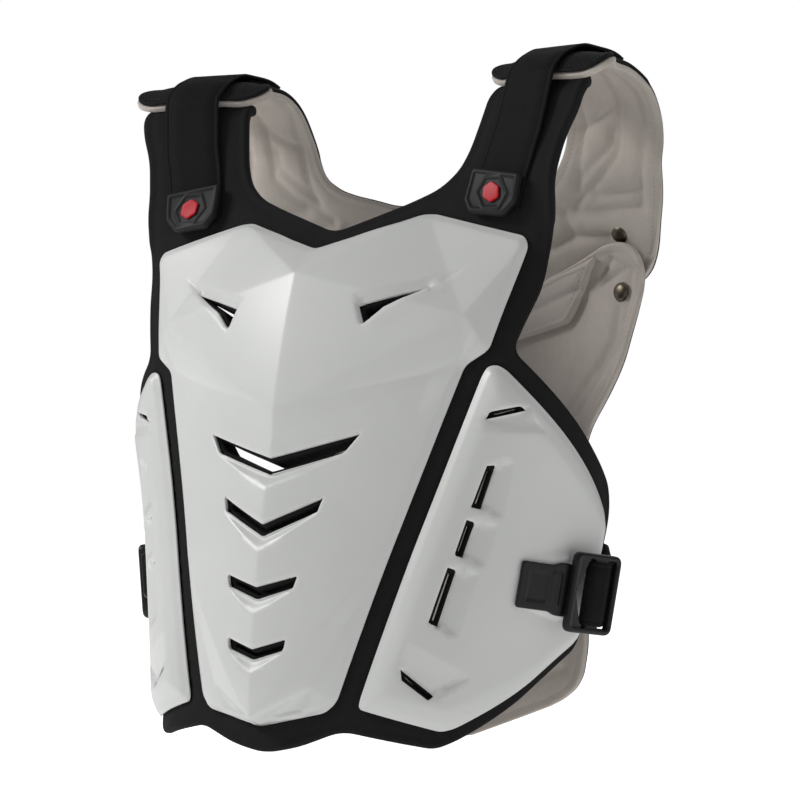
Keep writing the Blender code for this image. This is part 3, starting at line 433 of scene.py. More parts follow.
def panel(name, at, outline, outer, inner, **options):
    """A sheet between two offsets from a surface. Its edges are round, its creases kept.

    at gives points and normals for flat points; outer and inner take flat points."""
    holes = [np.asarray(hole) for hole in options.get("holes", [])]
    step, edge = options.get("step", 0.003), options.get("edge", 0.0012)
    fine = options.get("fine", step * 0.75)
    rims = [spaced(line, fine) for line in [outline] + holes]
    walls = np.vstack([segments_of(rim) for rim in rims])
    rings = [edge * share for share in (0.10, 0.32, 0.64, 1.0)]
    rings += [edge + extra for extra in options.get("rings", ())]
    points, links = [], []
    for rim in rims:
        first = sum(len(p) for p in points)
        count = len(rim)
        links += [(first + k, first + (k + 1) % count) for k in range(count)]
        points.append(rim)
    for rim in rims:
        run = np.roll(rim, -1, axis=0) - np.roll(rim, 1, axis=0)
        run /= np.maximum(np.linalg.norm(run, axis=1, keepdims=True), 1e-12)
        for side in (1, -1):
            normal = np.stack((run[:, 1], -run[:, 0]), axis=1) * side
            for ring in rings:
                row = rim + normal * ring
                row = row[distance_to(row, walls) > ring * 0.96]
                points.append(row)
    lines = []
    for a, b in options.get("creases", ()):
        row = spaced((a, b), fine, closed=False)
        clear = distance_to(row, walls) > rings[-1] + fine * 0.5
        row = row[clear & inside(row, rims[0])]
        if len(row) > 1:
            lines.append((row[0], row[-1]))
            across = (row[-1] - row[0]) / np.linalg.norm(row[-1] - row[0])
            across = np.array((across[1], -across[0])) * options.get("soft", 0.001) * 1.2
            points += [row, row + across, row - across]
    taken = np.vstack(points)
    low, high = rims[0].min(axis=0), rims[0].max(axis=0)
    rows = []
    for k, y in enumerate(np.arange(low[1], high[1], step * math.sqrt(3) / 2)):
        x = np.arange(low[0] - (k % 2) * step / 2, high[0], step)
        rows.append(np.stack((x, np.full(len(x), y)), axis=1))
    grid = np.vstack(rows)
    grid = grid[inside(grid, rims[0])]
    grid = grid[distance_to(grid, walls) > rings[-1] + step * 0.55]
    for line in lines:
        keep = distance_to(grid, [line]) > step * 0.9
        grid = grid[keep]
    flat = np.vstack((taken, grid))
    flat[:, 0] = np.where(np.abs(flat[:, 0]) < 1e-7, 0.0, flat[:, 0])
    made = delaunay_2d_cdt([Vector(p) for p in flat], links, [], 0, 1e-6)
    flat = np.array([(p.x, p.y) for p in made[0]])
    faces = np.array([face for face in made[2] if len(face) == 3])
    centre = flat[faces].mean(axis=1)
    keep = inside(centre, rims[0])
    for rim in rims[1:]:
        keep &= ~inside(centre, rim)
    faces = faces[keep]
    used, faces = np.unique(faces, return_inverse=True)
    flat, faces = flat[used], faces.reshape(-1, 3)
    from_rim = distance_to(flat, walls)
    on_rim = from_rim < 1e-6
    a, b, c = (flat[faces[:, k]] for k in range(3))
    area = (b[:, 0] - a[:, 0]) * (c[:, 1] - a[:, 1]) - (b[:, 1] - a[:, 1]) * (c[:, 0] - a[:, 0])
    faces = np.where(area[:, None] < 0, faces[:, ::-1], faces)
    side = options.get("side", 1)
    origin, normal = at(flat * (side, 1.0))
    high = outer(flat * (side, 1.0)) if callable(outer) else np.full(len(flat), outer)
    low = inner(flat * (side, 1.0)) if callable(inner) else np.full(len(flat), inner)
    away = np.clip(from_rim / edge, 0.0, 1.0)
    share = np.sqrt(np.maximum(0.0, 1 - (1 - away) ** 2))
    half = (high - low) / 2
    cut = half if edge > half.max() * 0.9 else np.minimum(half, edge)
    top = origin + normal * (high - cut * (1 - share))[:, None]
    bottom = origin + normal * (low + cut * (1 - share))[:, None]
    middle = (top + bottom) / 2
    count = len(flat)
    lower = np.where(on_rim, np.arange(count), np.arange(count) + count)
    if np.abs(half - cut).max() > 1e-5:
        lower = np.arange(count) + count
        ends = np.concatenate([faces[:, [0, 1]], faces[:, [1, 2]], faces[:, [2, 0]]])
        key = np.sort(ends, axis=1)
        _, where, number = np.unique(key, axis=0, return_index=True, return_counts=True)
        border = ends[where[number == 1]]
        walls_3d = np.concatenate([
            np.stack((border[:, 1], border[:, 0], border[:, 0] + count), axis=1),
            np.stack((border[:, 1], border[:, 0] + count, border[:, 1] + count), axis=1),
        ])
    else:
        top = np.where(on_rim[:, None], middle, top)
        walls_3d = np.zeros((0, 3), int)
    both = np.concatenate([faces, lower[faces][:, ::-1], walls_3d])
    outward = side if options.get("outward", True) else -side
    if outward < 0:
        both = both[:, ::-1]
    return mesh_object(
        name, np.vstack((top, bottom)), both, options["finish"],
        flat=np.vstack((flat, flat)), rim=np.concatenate((from_rim, from_rim)),
    )


def mesh_object(name, points, faces, finish, flat=None, rim=None):
    """A mesh with smooth shading, its flat pattern as UV and the distance from its edge."""
    used, faces = np.unique(faces, return_inverse=True)
    faces = faces.reshape(-1, 3)
    mesh = bpy.data.meshes.new(name)
    mesh.from_pydata(np.asarray(points)[used].tolist(), [], faces.tolist())
    mesh.shade_smooth()
    if flat is not None:
        layer = mesh.uv_layers.new(name="Flat")
        corners = np.empty(len(mesh.loops), np.int32)
        mesh.loops.foreach_get("vertex_index", corners)
        layer.data.foreach_set("uv", np.asarray(flat)[used][corners].astype(np.float32).ravel())
    if rim is not None:
        stored = mesh.attributes.new("rim", "FLOAT", "POINT")
        stored.data.foreach_set("value", np.asarray(rim)[used].astype(np.float32))
    mesh.materials.append(finish)
    piece = bpy.data.objects.new(name, mesh)
    bpy.context.scene.collection.objects.link(piece)
    return piece


def wrapped(surface):
    def at(points):
        return surface(points[:, 0], points[:, 1]), normals_on(surface, points[:, 0], points[:, 1])
    return at


ON_FRONT, ON_BACK = wrapped(front_surface), wrapped(back_surface)


def in_plane(matrix):
    """Flat points laid in the plane of a placed frame."""
    turn = np.array(matrix.to_3x3())
    origin = np.array(matrix.translation)

    def at(points):
        flat = np.stack((points[:, 0], points[:, 1], np.zeros(len(points))), axis=1)
        return flat @ turn.T + origin, np.tile(turn[:, 2], (len(points), 1))

    return at


# Faces sunk beside the slots, as corner rows: distance out, height, depth in millimetres
CHEST_VENT = ((0.475, 0.645), (0.330, 0.612), (0.268, 0.588), (0.240, 0.614))
CHEST_SUNK = (
    ((0.585, 0.675, 0.0), (0.222, 0.628, 0.0), (0.240, 0.614, 4.6), (0.475, 0.645, 2.6)),
    ((0.222, 0.628, 0.0), (0.262, 0.580, 0.0), (0.268, 0.588, 3.0), (0.240, 0.614, 4.6)),
)
STEP_SUNK = (
    ((0.000, 0.474, 0.0), (0.640, 0.592, 0.0), (0.600, 0.552, 1.2), (0.500, 0.533, 2.4)),
    ((0.000, 0.474, 0.0), (0.500, 0.533, 2.4), (0.470, 0.470, 0.0), (0.000, 0.440, 0.0)),
    ((0.500, 0.533, 2.4), (0.600, 0.552, 1.2), (0.570, 0.520, 0.0), (0.470, 0.470, 0.0)),
)
# Raised lower lip of the chest vents
CHEST_LIP = (
    ((0.475, 0.645, 1.3), (0.268, 0.588, 0.9), (0.290, 0.566, 0.0), (0.540, 0.638, 0.0)),
)
SIDE_SUNK = (
    ((0.742, 0.412, 4.0), (0.697, 0.353, 4.0), (0.781, 0.340, 0.0), (0.799, 0.415, 0.0)),
    ((0.691, 0.334, 4.0), (0.655, 0.286, 4.0), (0.736, 0.274, 0.0), (0.766, 0.328, 0.0)),
    ((0.640, 0.270, 4.0), (0.589, 0.193, 4.0), (0.661, 0.180, 0.0), (0.715, 0.262, 0.0)),
    ((0.700, 0.471, 3.6), (0.829, 0.484, 3.6), (0.905, 0.455, 0.0), (0.664, 0.453, 0.0)),
    ((0.480, 0.136, 3.2), (0.590, 0.101, 3.2), (0.712, 0.127, 0.0), (0.496, 0.174, 0.0)),
)
# Raised forms of the front shell's toe: low flat faces beside the middle
TOE_SUNK = (
    ((0.000, 0.100, 0.0), (0.190, 0.118, 0.0), (0.150, 0.078, 1.6), (0.000, 0.066, 1.6)),
)


def sunk(points, faces):
    """Depth in metres of the sunk faces at each point, given on one side."""
    shares = np.abs(points) / (HALF_GIRTH, TORSO_HEIGHT)
    depth = np.zeros(len(points))
    for rows in faces:
        found = on_facets(shares, rows, ((0, 1, 2), (0, 2, 3)))
        depth = np.maximum(depth, found)
    return depth / 1000


def sunk_edges(faces):
    edges = []
    for rows in faces:
        ends = in_metres([row[:2] for row in rows])
        for a, b in zip(ends, ends[1:] + ends[:1]):
            edges += [(a, b), ((-a[0], a[1]), (-b[0], b[1]))]
    return edges


def chin_dent(points):
    shares = np.abs(points) / (HALF_GIRTH, TORSO_HEIGHT)
    depth = np.zeros(len(points))
    for _, _, low_out, low_height, _, bottom, chin in FRONT_SLOTS:
        rows = ((low_out, low_height, 0.4), (0.0, bottom, 1.0), (0.0, chin, 0.0))
        depth = np.maximum(depth, on_facets(shares, rows, ((0, 1, 2),)))
    return CHIN_DEPTH * depth


def plain_core(points):
    """Foam height under the front shell."""
    shares = np.abs(points) / (HALF_GIRTH, TORSO_HEIGHT)
    rise = CORE_RISE * on_facets(shares, FACET_POINTS, FACETS, spread=True)
    return np.maximum(0.0, rise - chin_dent(points))


front_core = softened(plain_core, 0.0012)
SHELL_OUTLINE = rounded(both_sides(SHELL_EDGE), 0.004)
SIDE_OUTLINE = rounded(in_metres(SIDE_EDGE), 0.006)
SHELL_LINES = segments_of(SHELL_OUTLINE)
SIDE_LINES = segments_of(SIDE_OUTLINE)


def border(points, lines, width=BORDER_WIDTH, drop=BORDER_DROP):
    """Drop of the bevel along an edge."""
    return drop * np.clip(1 - distance_to(points, lines) / width, 0.0, 1.0)


def slot_outline(row):
    tip_out, tip, low_out, low, top, bottom, _ = row
    half = ((0.0, top), (tip_out, tip), (low_out, low), (0.0, bottom))
    return in_metres(half + ((-low_out, low), (-tip_out, tip)))


FRONT_HOLES = [slot_outline(row) for row in FRONT_SLOTS]
FRONT_HOLES += [in_metres(CHEST_VENT), mirrored(in_metres(CHEST_VENT))]
SIDE_HOLES = [in_metres(slot) for slot in SIDE_SLOTS]
HOLE_LINES = np.vstack([segments_of(hole) for hole in FRONT_HOLES])
SIDE_HOLE_LINES = np.vstack([segments_of(hole) for hole in SIDE_HOLES])


def shell_relief(points):
    depth = sunk(points, CHEST_SUNK + STEP_SUNK + TOE_SUNK)
    return FACE_RISE + sunk(points, CHEST_LIP) - depth - border(points, SHELL_LINES)


def shell_face(points):
    lip = border(points, HOLE_LINES, 0.0016, 0.0005)
    return front_core(points) + SEAT + SHELL_WALL + softened(shell_relief, 0.0008)(points) - lip


def shell_back(points):
    depth = softened(lambda p: sunk(p, CHEST_SUNK), 0.0008)(points)
    return front_core(points) + SEAT - np.minimum(depth, 0.0022)


def flat_of(at_place):
    return np.array(in_metres((at_place,)))


def plain_side_core(points):
    """Foam height under a side shell, with the buckle's flat seat raised out of it."""
    points = np.abs(points) * (1.0, 1.0)
    rise = SIDE_RISE * smooth(distance_to(points, segments_of(in_metres(SIDE_EDGE))) / 0.016)
    foot, face = in_metres(SEAT_FOOT), in_metres(SEAT_FACE)
    here = inside(points, foot)
    if not here.any():
        return rise
    origin, facing = (found[0] for found in ON_FRONT(flat_of(BUCKLE_AT)))
    place, normal = ON_FRONT(points)
    over = SIDE_SEAT + SHELL_WALL
    level = ((origin - place) @ facing + SIDE_RISE + over) / (normal @ facing) - over
    from_foot = distance_to(points, segments_of(foot))
    from_face = np.where(inside(points, face), 0.0, distance_to(points, segments_of(face)))
    share = from_foot / (from_foot + from_face + 1e-9)
    return np.where(here, rise + np.maximum(0.0, level - rise) * share, rise)


side_core = softened(plain_side_core, 0.0012)


def side_relief(points):
    away = np.abs(points)
    return FACE_RISE - sunk(points, SIDE_SUNK) - border(away, SIDE_LINES)


def side_face(points):
    lip = border(np.abs(points), SIDE_HOLE_LINES, 0.0014, 0.0005)
    over = SIDE_SEAT + SHELL_WALL - lip
    return side_core(points) + over + softened(side_relief, 0.0008)(points)


def side_back(points):
    depth = softened(lambda p: sunk(p, SIDE_SUNK), 0.0008)(points)
    return side_core(points) + SIDE_SEAT - np.minimum(depth, 0.0018)


def pad_core(points):
    """The pad's face: its foam core, which ends a little inside each shell's edge."""
    reach = smooth((distance_to(points, SHELL_LINES) - 0.001) / 0.010)
    middle = np.where(inside(points, SHELL_OUTLINE), reach * front_core(points), 0.0)
    away = np.abs(points)
    under = inside(away, SIDE_OUTLINE) | (distance_to(away, SIDE_LINES) < 0.001)
    flank = side_core(points) - SINK
    sink = np.minimum(sunk(points, CHEST_SUNK) * 0.5, 0.002)
    return np.where(under, flank, middle - sink)


PAD_OUTLINE = rounded(both_sides(PAD_EDGE), 0.010)
PAD_LINES = segments_of(PAD_OUTLINE)
BINDING_WIDTH = 0.0062    # bound edge of the pad, with a stitched groove inside it


def pad_face(points):
    """The core, and where the pad shows a bound edge and a quilted swell."""
    from_edge = distance_to(points, PAD_LINES)
    groove = 0.0009 * np.exp(-(((from_edge - BINDING_WIDTH) / 0.0011) ** 2))
    away = np.abs(points)
    covered = inside(points, SHELL_OUTLINE) | inside(away, SIDE_OUTLINE)
    over = np.minimum(distance_to(points, SHELL_LINES), distance_to(away, SIDE_LINES))
    swell = 0.0008 * smooth((from_edge - BINDING_WIDTH) / 0.008) * smooth((over - 0.001) / 0.006)
    return pad_core(points) + np.where(covered, 0.0, swell) - groove


def shrunk(outline, inset):
    """A small convex outline with its sides moved in."""
    points = np.array(outline)
    before, after = np.roll(points, 1, axis=0), np.roll(points, -1, axis=0)
    middle = points.mean(axis=0)
    back = (points - before) / np.linalg.norm(points - before, axis=1, keepdims=True)
    on = (after - points) / np.linalg.norm(after - points, axis=1, keepdims=True)
    turn = np.sign(np.cross(back, on).sum())
    left = np.stack((-back[:, 1], back[:, 0]), axis=1) * turn
    right = np.stack((-on[:, 1], on[:, 0]), axis=1) * turn
    move = left + right
    move /= np.maximum((move * left).sum(axis=1, keepdims=True), 0.35)
    return points + move * inset


def wire(tree, kind, inputs=None, **settings):
    """One node with its settings, and its inputs set or linked."""
    node = tree.nodes.new(kind)
    for name, value in settings.items():
        setattr(node, name, value)
    for name, value in (inputs or {}).items():
        if isinstance(value, bpy.types.NodeSocket):
            tree.links.new(value, node.inputs[name])
        else:
            node.inputs[name].default_value = value
    return node


def math_of(tree, operation, first, second=0.0, clamped=False):
    node = wire(tree, "ShaderNodeMath", {0: first, 1: second}, operation=operation)
    node.use_clamp = clamped
    return node.outputs[0]


def mixed(tree, share, first, second, blend="MIX"):
    node = wire(tree, "ShaderNodeMix", {0: share, 6: first, 7: second}, data_type="RGBA",
                blend_type=blend)
    return node.outputs[2]


def ranged(tree, value, low, high, to_low, to_high):
    inputs = {"Value": value, "From Min": low, "From Max": high,
              "To Min": to_low, "To Max": to_high}
    return wire(tree, "ShaderNodeMapRange", inputs).outputs[0]


def effect(name, inputs, outputs):
    """A shader group with named inputs and outputs, and its two end nodes."""
    group = bpy.data.node_groups.new(name, "ShaderNodeTree")
    for label, kind, value in inputs:
        socket = group.interface.new_socket(label, in_out="INPUT", socket_type=kind)
        socket.default_value = value
    for label, kind in outputs:
        group.interface.new_socket(label, in_out="OUTPUT", socket_type=kind)
    start, end = group.nodes.new("NodeGroupInput"), group.nodes.new("NodeGroupOutput")
    return group, start, end


FLOAT = "NodeSocketFloat"


def grain_effect():
    """Fine moulded grain, cloudy tone and faint scratches, in object space."""
    group, start, end = effect(
        "Moulded grain",
        (("Grain Scale", FLOAT, 900.0), ("Cloud Scale", FLOAT, 9.0), ("Scratches", FLOAT, 0.3)),
        (("Height", FLOAT), ("Cloud", FLOAT), ("Gloss Change", FLOAT)),
    )
    where = wire(group, "ShaderNodeTexCoord").outputs["Object"]
    grain = wire(group, "ShaderNodeTexNoise", {"Vector": where, "Scale": start.outputs[0],
                 "Detail": 3.0, "Roughness": 0.6}).outputs[0]
    cloud = wire(group, "ShaderNodeTexNoise", {"Vector": where, "Scale": start.outputs[1],
                 "Detail": 4.0, "Roughness": 0.55}).outputs[0]
    long_way = wire(group, "ShaderNodeMapping", {"Vector": where, "Rotation": (0.4, 0.9, 0.3),
                    "Scale": (900.0, 22.0, 40.0)}).outputs[0]
    scratch = wire(group, "ShaderNodeTexNoise", {"Vector": long_way, "Scale": 1.0,
                   "Detail": 1.0}).outputs[0]
    line = ranged(group, scratch, 0.68, 0.76, 0.0, 1.0)
    marks = math_of(group, "MULTIPLY", line, start.outputs[2])
    rubbed = ranged(group, cloud, 0.35, 0.70, -0.05, 0.07)
    gloss = math_of(group, "ADD", rubbed, math_of(group, "MULTIPLY", marks, 0.2))
    height = math_of(group, "SUBTRACT", grain, math_of(group, "MULTIPLY", marks, 0.5))
    group.links.new(height, end.inputs[0])
    group.links.new(cloud, end.inputs[1])
    group.links.new(gloss, end.inputs[2])
    return group


def weave_effect():
    """Plain weave over a piece's flat pattern: threads across each other, with slubs."""
    group, start, end = effect(
        "Plain weave",
        (("Threads", FLOAT, 900.0), ("Stretch", FLOAT, 1.0), ("Slub", FLOAT, 0.35)),
        (("Height", FLOAT), ("Thread Tone", FLOAT), ("Pile", FLOAT)),
    )
    flat = wire(group, "ShaderNodeUVMap", uv_map="Flat").outputs[0]
    axes = wire(group, "ShaderNodeSeparateXYZ", {0: flat}).outputs
    across = math_of(group, "MULTIPLY", axes[0], start.outputs[0])
    along = math_of(group, "MULTIPLY", axes[1], start.outputs[0])
    along = math_of(group, "MULTIPLY", along, start.outputs[1])
    warp = math_of(group, "SINE", math_of(group, "MULTIPLY", across, math.tau))
    weft = math_of(group, "SINE", math_of(group, "MULTIPLY", along, math.tau))
    cell_x = math_of(group, "COSINE", math_of(group, "MULTIPLY", across, math.pi))
    cell_y = math_of(group, "COSINE", math_of(group, "MULTIPLY", along, math.pi))
    over = math_of(group, "MULTIPLY", cell_x, cell_y)
    height = math_of(group, "ADD", math_of(group, "MULTIPLY", over, 0.5),
                     math_of(group, "MULTIPLY", math_of(group, "ADD", warp, weft), 0.18))
    stretched = wire(group, "ShaderNodeMapping", {"Vector": flat, "Scale": (420.0, 60.0, 1.0)})
    slub = wire(group, "ShaderNodeTexNoise", {"Vector": stretched.outputs[0], "Scale": 1.0,
                "Detail": 3.0}).outputs[0]
    fluff = wire(group, "ShaderNodeTexNoise", {"Vector": flat, "Scale": 1400.0,
                 "Detail": 2.0}).outputs[0]
    swell = math_of(group, "MULTIPLY", slub, start.outputs[2])
    tone = math_of(group, "ADD", ranged(group, over, -1.0, 1.0, 0.35, 0.65), swell)
    group.links.new(math_of(group, "ADD", height, swell), end.inputs[0])
    group.links.new(tone, end.inputs[1])
    group.links.new(fluff, end.inputs[2])
    return group


def wear_effect():
    """Rubbed rims and settled dust, from the distance to a piece's edge."""
    group, start, end = effect(
        "Edge wear",
        (("Reach", FLOAT, 0.004), ("Strength", FLOAT, 0.5)),
        (("Rubbed", FLOAT), ("Dust", FLOAT)),
    )
    rim = wire(group, "ShaderNodeAttribute", attribute_name="rim").outputs["Fac"]
    where = wire(group, "ShaderNodeTexCoord").outputs["Object"]
    patches = wire(group, "ShaderNodeTexNoise", {"Vector": where, "Scale": 38.0,
                   "Detail": 5.0, "Roughness": 0.65}).outputs[0]
    near = math_of(group, "DIVIDE", rim, start.outputs[0])
    near = math_of(group, "SUBTRACT", 1.0, near, clamped=True)
    broken = ranged(group, patches, 0.38, 0.62, 0.0, 1.0)
    rubbed = math_of(group, "MULTIPLY", math_of(group, "MULTIPLY", near, broken), start.outputs[1])
    dust = math_of(group, "MULTIPLY", ranged(group, patches, 0.45, 0.75, 0.0, 1.0), start.outputs[1])
    group.links.new(rubbed, end.inputs[0])
    group.links.new(dust, end.inputs[1])
    return group


GRAIN, WEAVE, WEAR = grain_effect(), weave_effect(), wear_effect()


def finish_named(name, sheen=0.0, coat=0.0, specular=0.5):
    """An empty material and its shader, with the values that are the same all over."""
    made = bpy.data.materials.new(name)
    made.use_nodes = True
    shader = made.node_tree.nodes["Principled BSDF"]
    shader.inputs["Sheen Weight"].default_value = sheen
    shader.inputs["Sheen Roughness"].default_value = 0.45
    shader.inputs["Coat Weight"].default_value = coat
    shader.inputs["Coat Roughness"].default_value = 0.25
    shader.inputs["Specular IOR Level"].default_value = specular
    return made, made.node_tree, shader


def placed(tree, group, **values):
    node = tree.nodes.new("ShaderNodeGroup")
    node.node_tree = group
    for name, value in values.items():
        node.inputs[name.replace("_", " ")].default_value = value
    return node


def bumped(tree, shader, height, strength, distance):
    bump = wire(tree, "ShaderNodeBump", {"Height": height, "Strength": strength,
                "Distance": distance})
    tree.links.new(bump.outputs[0], shader.inputs["Normal"])


def moulded(name, dark, light, rough, grain, depth, scratches=0.3, rubbed_tone=None, **shading):
    """Moulded plastic or rubber: grain, cloudy tone, rubbed edges."""
    made, tree, shader = finish_named(name, **shading)
    fine = placed(tree, GRAIN, Grain_Scale=grain, Scratches=scratches)
    wear = placed(tree, WEAR, Reach=0.0030, Strength=0.5)
    tone = mixed(tree, fine.outputs["Cloud"], (*dark, 1.0), (*light, 1.0))
    if rubbed_tone:
        tone = mixed(tree, wear.outputs["Rubbed"], tone, (*rubbed_tone, 1.0))
    tree.links.new(tone, shader.inputs["Base Color"])
    gloss = math_of(tree, "ADD", fine.outputs["Gloss Change"], rough)
    gloss = math_of(tree, "ADD", gloss, math_of(tree, "MULTIPLY", wear.outputs["Rubbed"], 0.12))
    tree.links.new(gloss, shader.inputs["Roughness"])
    bumped(tree, shader, fine.outputs["Height"], 0.35, depth)
    return made


def woven(name, dark, light, rough, threads, depth, stretch=1.0, slub=0.35, dusty=0.0, **shading):
    """Cloth with its weave on the flat pattern, tone by thread and slightly dusty."""
    made, tree, shader = finish_named(name, **shading)
    weave = placed(tree, WEAVE, Threads=threads, Stretch=stretch, Slub=slub)
    wear = placed(tree, WEAR, Reach=0.0060, Strength=0.6)
    tone = mixed(tree, weave.outputs["Thread Tone"], (*dark, 1.0), (*light, 1.0))
    pale = tuple(min(1.0, value * 1.5 + 0.02) for value in light)
    dust = math_of(tree, "MULTIPLY", wear.outputs["Dust"], dusty)
    tone = mixed(tree, dust, tone, (*pale, 1.0))
    tree.links.new(tone, shader.inputs["Base Color"])
    gloss = ranged(tree, weave.outputs["Pile"], 0.3, 0.7, rough - 0.06, rough + 0.06)
    tree.links.new(gloss, shader.inputs["Roughness"])
    height = math_of(tree, "ADD", weave.outputs["Height"],
                     math_of(tree, "MULTIPLY", weave.outputs["Pile"], 0.5))
    bumped(tree, shader, height, 0.6, depth)
    return made


def brass_finish():
    made, tree, shader = finish_named("Antique brass")
    fine = placed(tree, GRAIN, Grain_Scale=1500.0, Cloud_Scale=45.0, Scratches=0.4)
    share = ranged(tree, fine.outputs["Cloud"], 0.38, 0.62, 0.0, 1.0)
    tone = mixed(tree, share, (0.13, 0.11, 0.085, 1.0), (0.27, 0.23, 0.175, 1.0))
    tree.links.new(tone, shader.inputs["Base Color"])
    shader.inputs["Metallic"].default_value = 1.0
    tree.links.new(ranged(tree, share, 0.0, 1.0, 0.46, 0.24), shader.inputs["Roughness"])
    bumped(tree, shader, fine.outputs["Height"], 0.3, 0.00006)
    return made


FINISHES = {
    "shell": moulded("Satin white shell", (0.72, 0.735, 0.715), (0.79, 0.80, 0.78), 0.36,
                     1100.0, 0.00005, scratches=0.25, rubbed_tone=(0.86, 0.865, 0.85),
                     coat=0.12),
    "pad": woven("Black pad cloth", (0.006, 0.006, 0.007), (0.019, 0.019, 0.020), 0.82,
                 820.0, 0.00022, dusty=0.10, specular=0.12),
    "lining": woven("Grey lining cloth", (0.44, 0.395, 0.355), (0.60, 0.545, 0.495), 0.80,
                    1100.0, 0.00012, dusty=0.3, sheen=0.15, specular=0.25),
    "flap": woven("Padded flap cloth", (0.42, 0.38, 0.345), (0.57, 0.52, 0.475), 0.84,
                  760.0, 0.00022, dusty=0.3, sheen=0.15, specular=0.25),
    "webbing": woven("Black webbing", (0.003, 0.003, 0.0035), (0.011, 0.011, 0.012), 0.72,
                     430.0, 0.00030, stretch=1.9, slub=0.2, dusty=0.10, specular=0.12),
    "rubber": moulded("Matte rubber", (0.009, 0.009, 0.010), (0.017, 0.017, 0.018), 0.52,
                      1500.0, 0.00012, rubbed_tone=(0.03, 0.03, 0.031), specular=0.25),
    "badge": moulded("Red badge", (0.46, 0.003, 0.010), (0.58, 0.005, 0.016), 0.34,
                     1200.0, 0.00006, specular=0.2),
    "plastic": moulded("Glossy black plastic", (0.006, 0.006, 0.007), (0.012, 0.012, 0.013),
                       0.24, 1300.0, 0.00006, rubbed_tone=(0.02, 0.02, 0.021), specular=0.3),
    "thread": moulded("Dark thread", (0.010, 0.010, 0.011), (0.028, 0.028, 0.030), 0.6,
                      2500.0, 0.00006, scratches=0.0),
    "pale thread": moulded("Grey thread", (0.26, 0.23, 0.205), (0.38, 0.34, 0.305), 0.6,
                           2500.0, 0.00006, scratches=0.0),
    "snap": brass_finish(),
}


def make_front():
    creases = sunk_edges(CHEST_SUNK + STEP_SUNK + CHEST_LIP)
    for names in FACETS:
        for a, b in zip(names, names[1:] + names[:1]):
            ends = in_metres((FACET_POINTS[a][:2], FACET_POINTS[b][:2]))
            creases += [tuple(ends), ((-ends[0][0], ends[0][1]), (-ends[1][0], ends[1][1]))]
    shell = panel("front_shell_cover", ON_FRONT, SHELL_OUTLINE, shell_face, shell_back,
                  holes=FRONT_HOLES, creases=creases, step=0.0032, edge=0.0006,
                  rings=(0.0016, 0.0032, 0.0044, 0.0056), finish=FINISHES["shell"])
    put(shell, "shell", "front_shell")
    holes = [shrunk(hole, HOLE_INSET) for hole in FRONT_HOLES + SIDE_HOLES]
    holes += [shrunk(mirrored(hole), HOLE_INSET) for hole in SIDE_HOLES]
    seat = loop_of(in_metres(SEAT_FOOT)) + loop_of(in_metres(SEAT_FACE))
    pad = panel("front_pad_cover", ON_FRONT, PAD_OUTLINE, pad_face, -PAD_THICK,
                holes=holes, step=0.0036, edge=0.0030, rings=(0.0022, 0.0042, 0.0065),
                finish=FINISHES["pad"])
    put(pad, "pad", "front_pad")
    flank = seat + sunk_edges(SIDE_SUNK)[::2]
    for label, side in (("left", 1), ("right", -1)):
        cover = panel(f"side_shell_cover_{label}", ON_FRONT, SIDE_OUTLINE, side_face,
                      side_back, holes=SIDE_HOLES, creases=flank, side=side, step=0.0032,
                      edge=0.0006, rings=(0.0016, 0.0032, 0.0044, 0.0056),
                      finish=FINISHES["shell"])
        put(cover, "shell", f"side_shell_{label}")


def loop_of(outline):
    return list(zip(outline, outline[1:] + outline[:1]))


def put(piece, slot, *nodes):
    """The piece rides on the one body and stands for its CAD nodes."""
    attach(piece, "root")
    if nodes:
        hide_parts(*nodes)
    return piece


def rim_relief(lines, groove=0.0055, depth=0.0007, swell=0.0006):
    """Bound edge with a sewn groove inside it and a low swell beyond."""
    def relief(points):
        away = distance_to(points, lines)
        sewn = depth * np.exp(-(((away - groove) / 0.0011) ** 2))
        return swell * smooth((away - groove) / 0.012) - sewn
    return relief


def make_back():
    upper = rounded(both_sides(UPPER_BACK_EDGE), 0.012)
    lower = rounded(both_sides(LOWER_BACK_EDGE), 0.012)
    flap = rounded(both_sides(FLAP_EDGE), 0.005)
    behind_upper = np.vstack(inset_runs(upper, 0.0012))
    behind_lower = np.vstack(inset_runs(lower, 0.0030))
    inner_rim = rim_relief(segments_of(upper))
    lower_rim = rim_relief(segments_of(lower))
    flap_rim = rim_relief(segments_of(flap), groove=0.0050, depth=0.0010, swell=0.0012)
    face = -YOKE_SPACING - BACK_THICK - GAP
    top = face - LINING_THICK - FLAP_REST
    # Piece, node, finish, slot, outline, outer face, inner face, edge radius
    rows = (
        ("upper_back_cover", "upper_back", "pad", "pad", behind_upper,
         lambda p: WING_THICK + inner_rim(p), LINING_THICK + GAP, 0.0014),
        ("upper_lining_cover", "upper_back_lining", "lining", "lining", upper,
         LINING_THICK, lambda p: lining_relief(p, inner_rim), 0.0012),
        ("lower_back_cover", "lower_back", "pad", "pad", behind_lower,
         lambda p: -YOKE_SPACING + 0.4 * lower_rim(p), -YOKE_SPACING - BACK_THICK, 0.0014),
        ("lower_lining_cover", "lower_back_lining", "lining", "lining", lower,
         face, lambda p: face - LINING_THICK - lower_relief(p, lower_rim), 0.0012),
        ("back_flap_cover", "back_flap", "flap", "lining", flap,
         top, lambda p: top - FLAP_THICK - flap_rim(p) - flap_line(p), 0.0040),
    )
    for name, node, finish, slot, outline, outer, inner, edge in rows:
        piece = panel(name, ON_BACK, outline, outer, inner, step=0.0030, edge=edge,
                      rings=(0.0016, 0.0032, 0.0048, 0.0064), outward=False,
                      finish=FINISHES[finish])
        put(piece, slot, node)


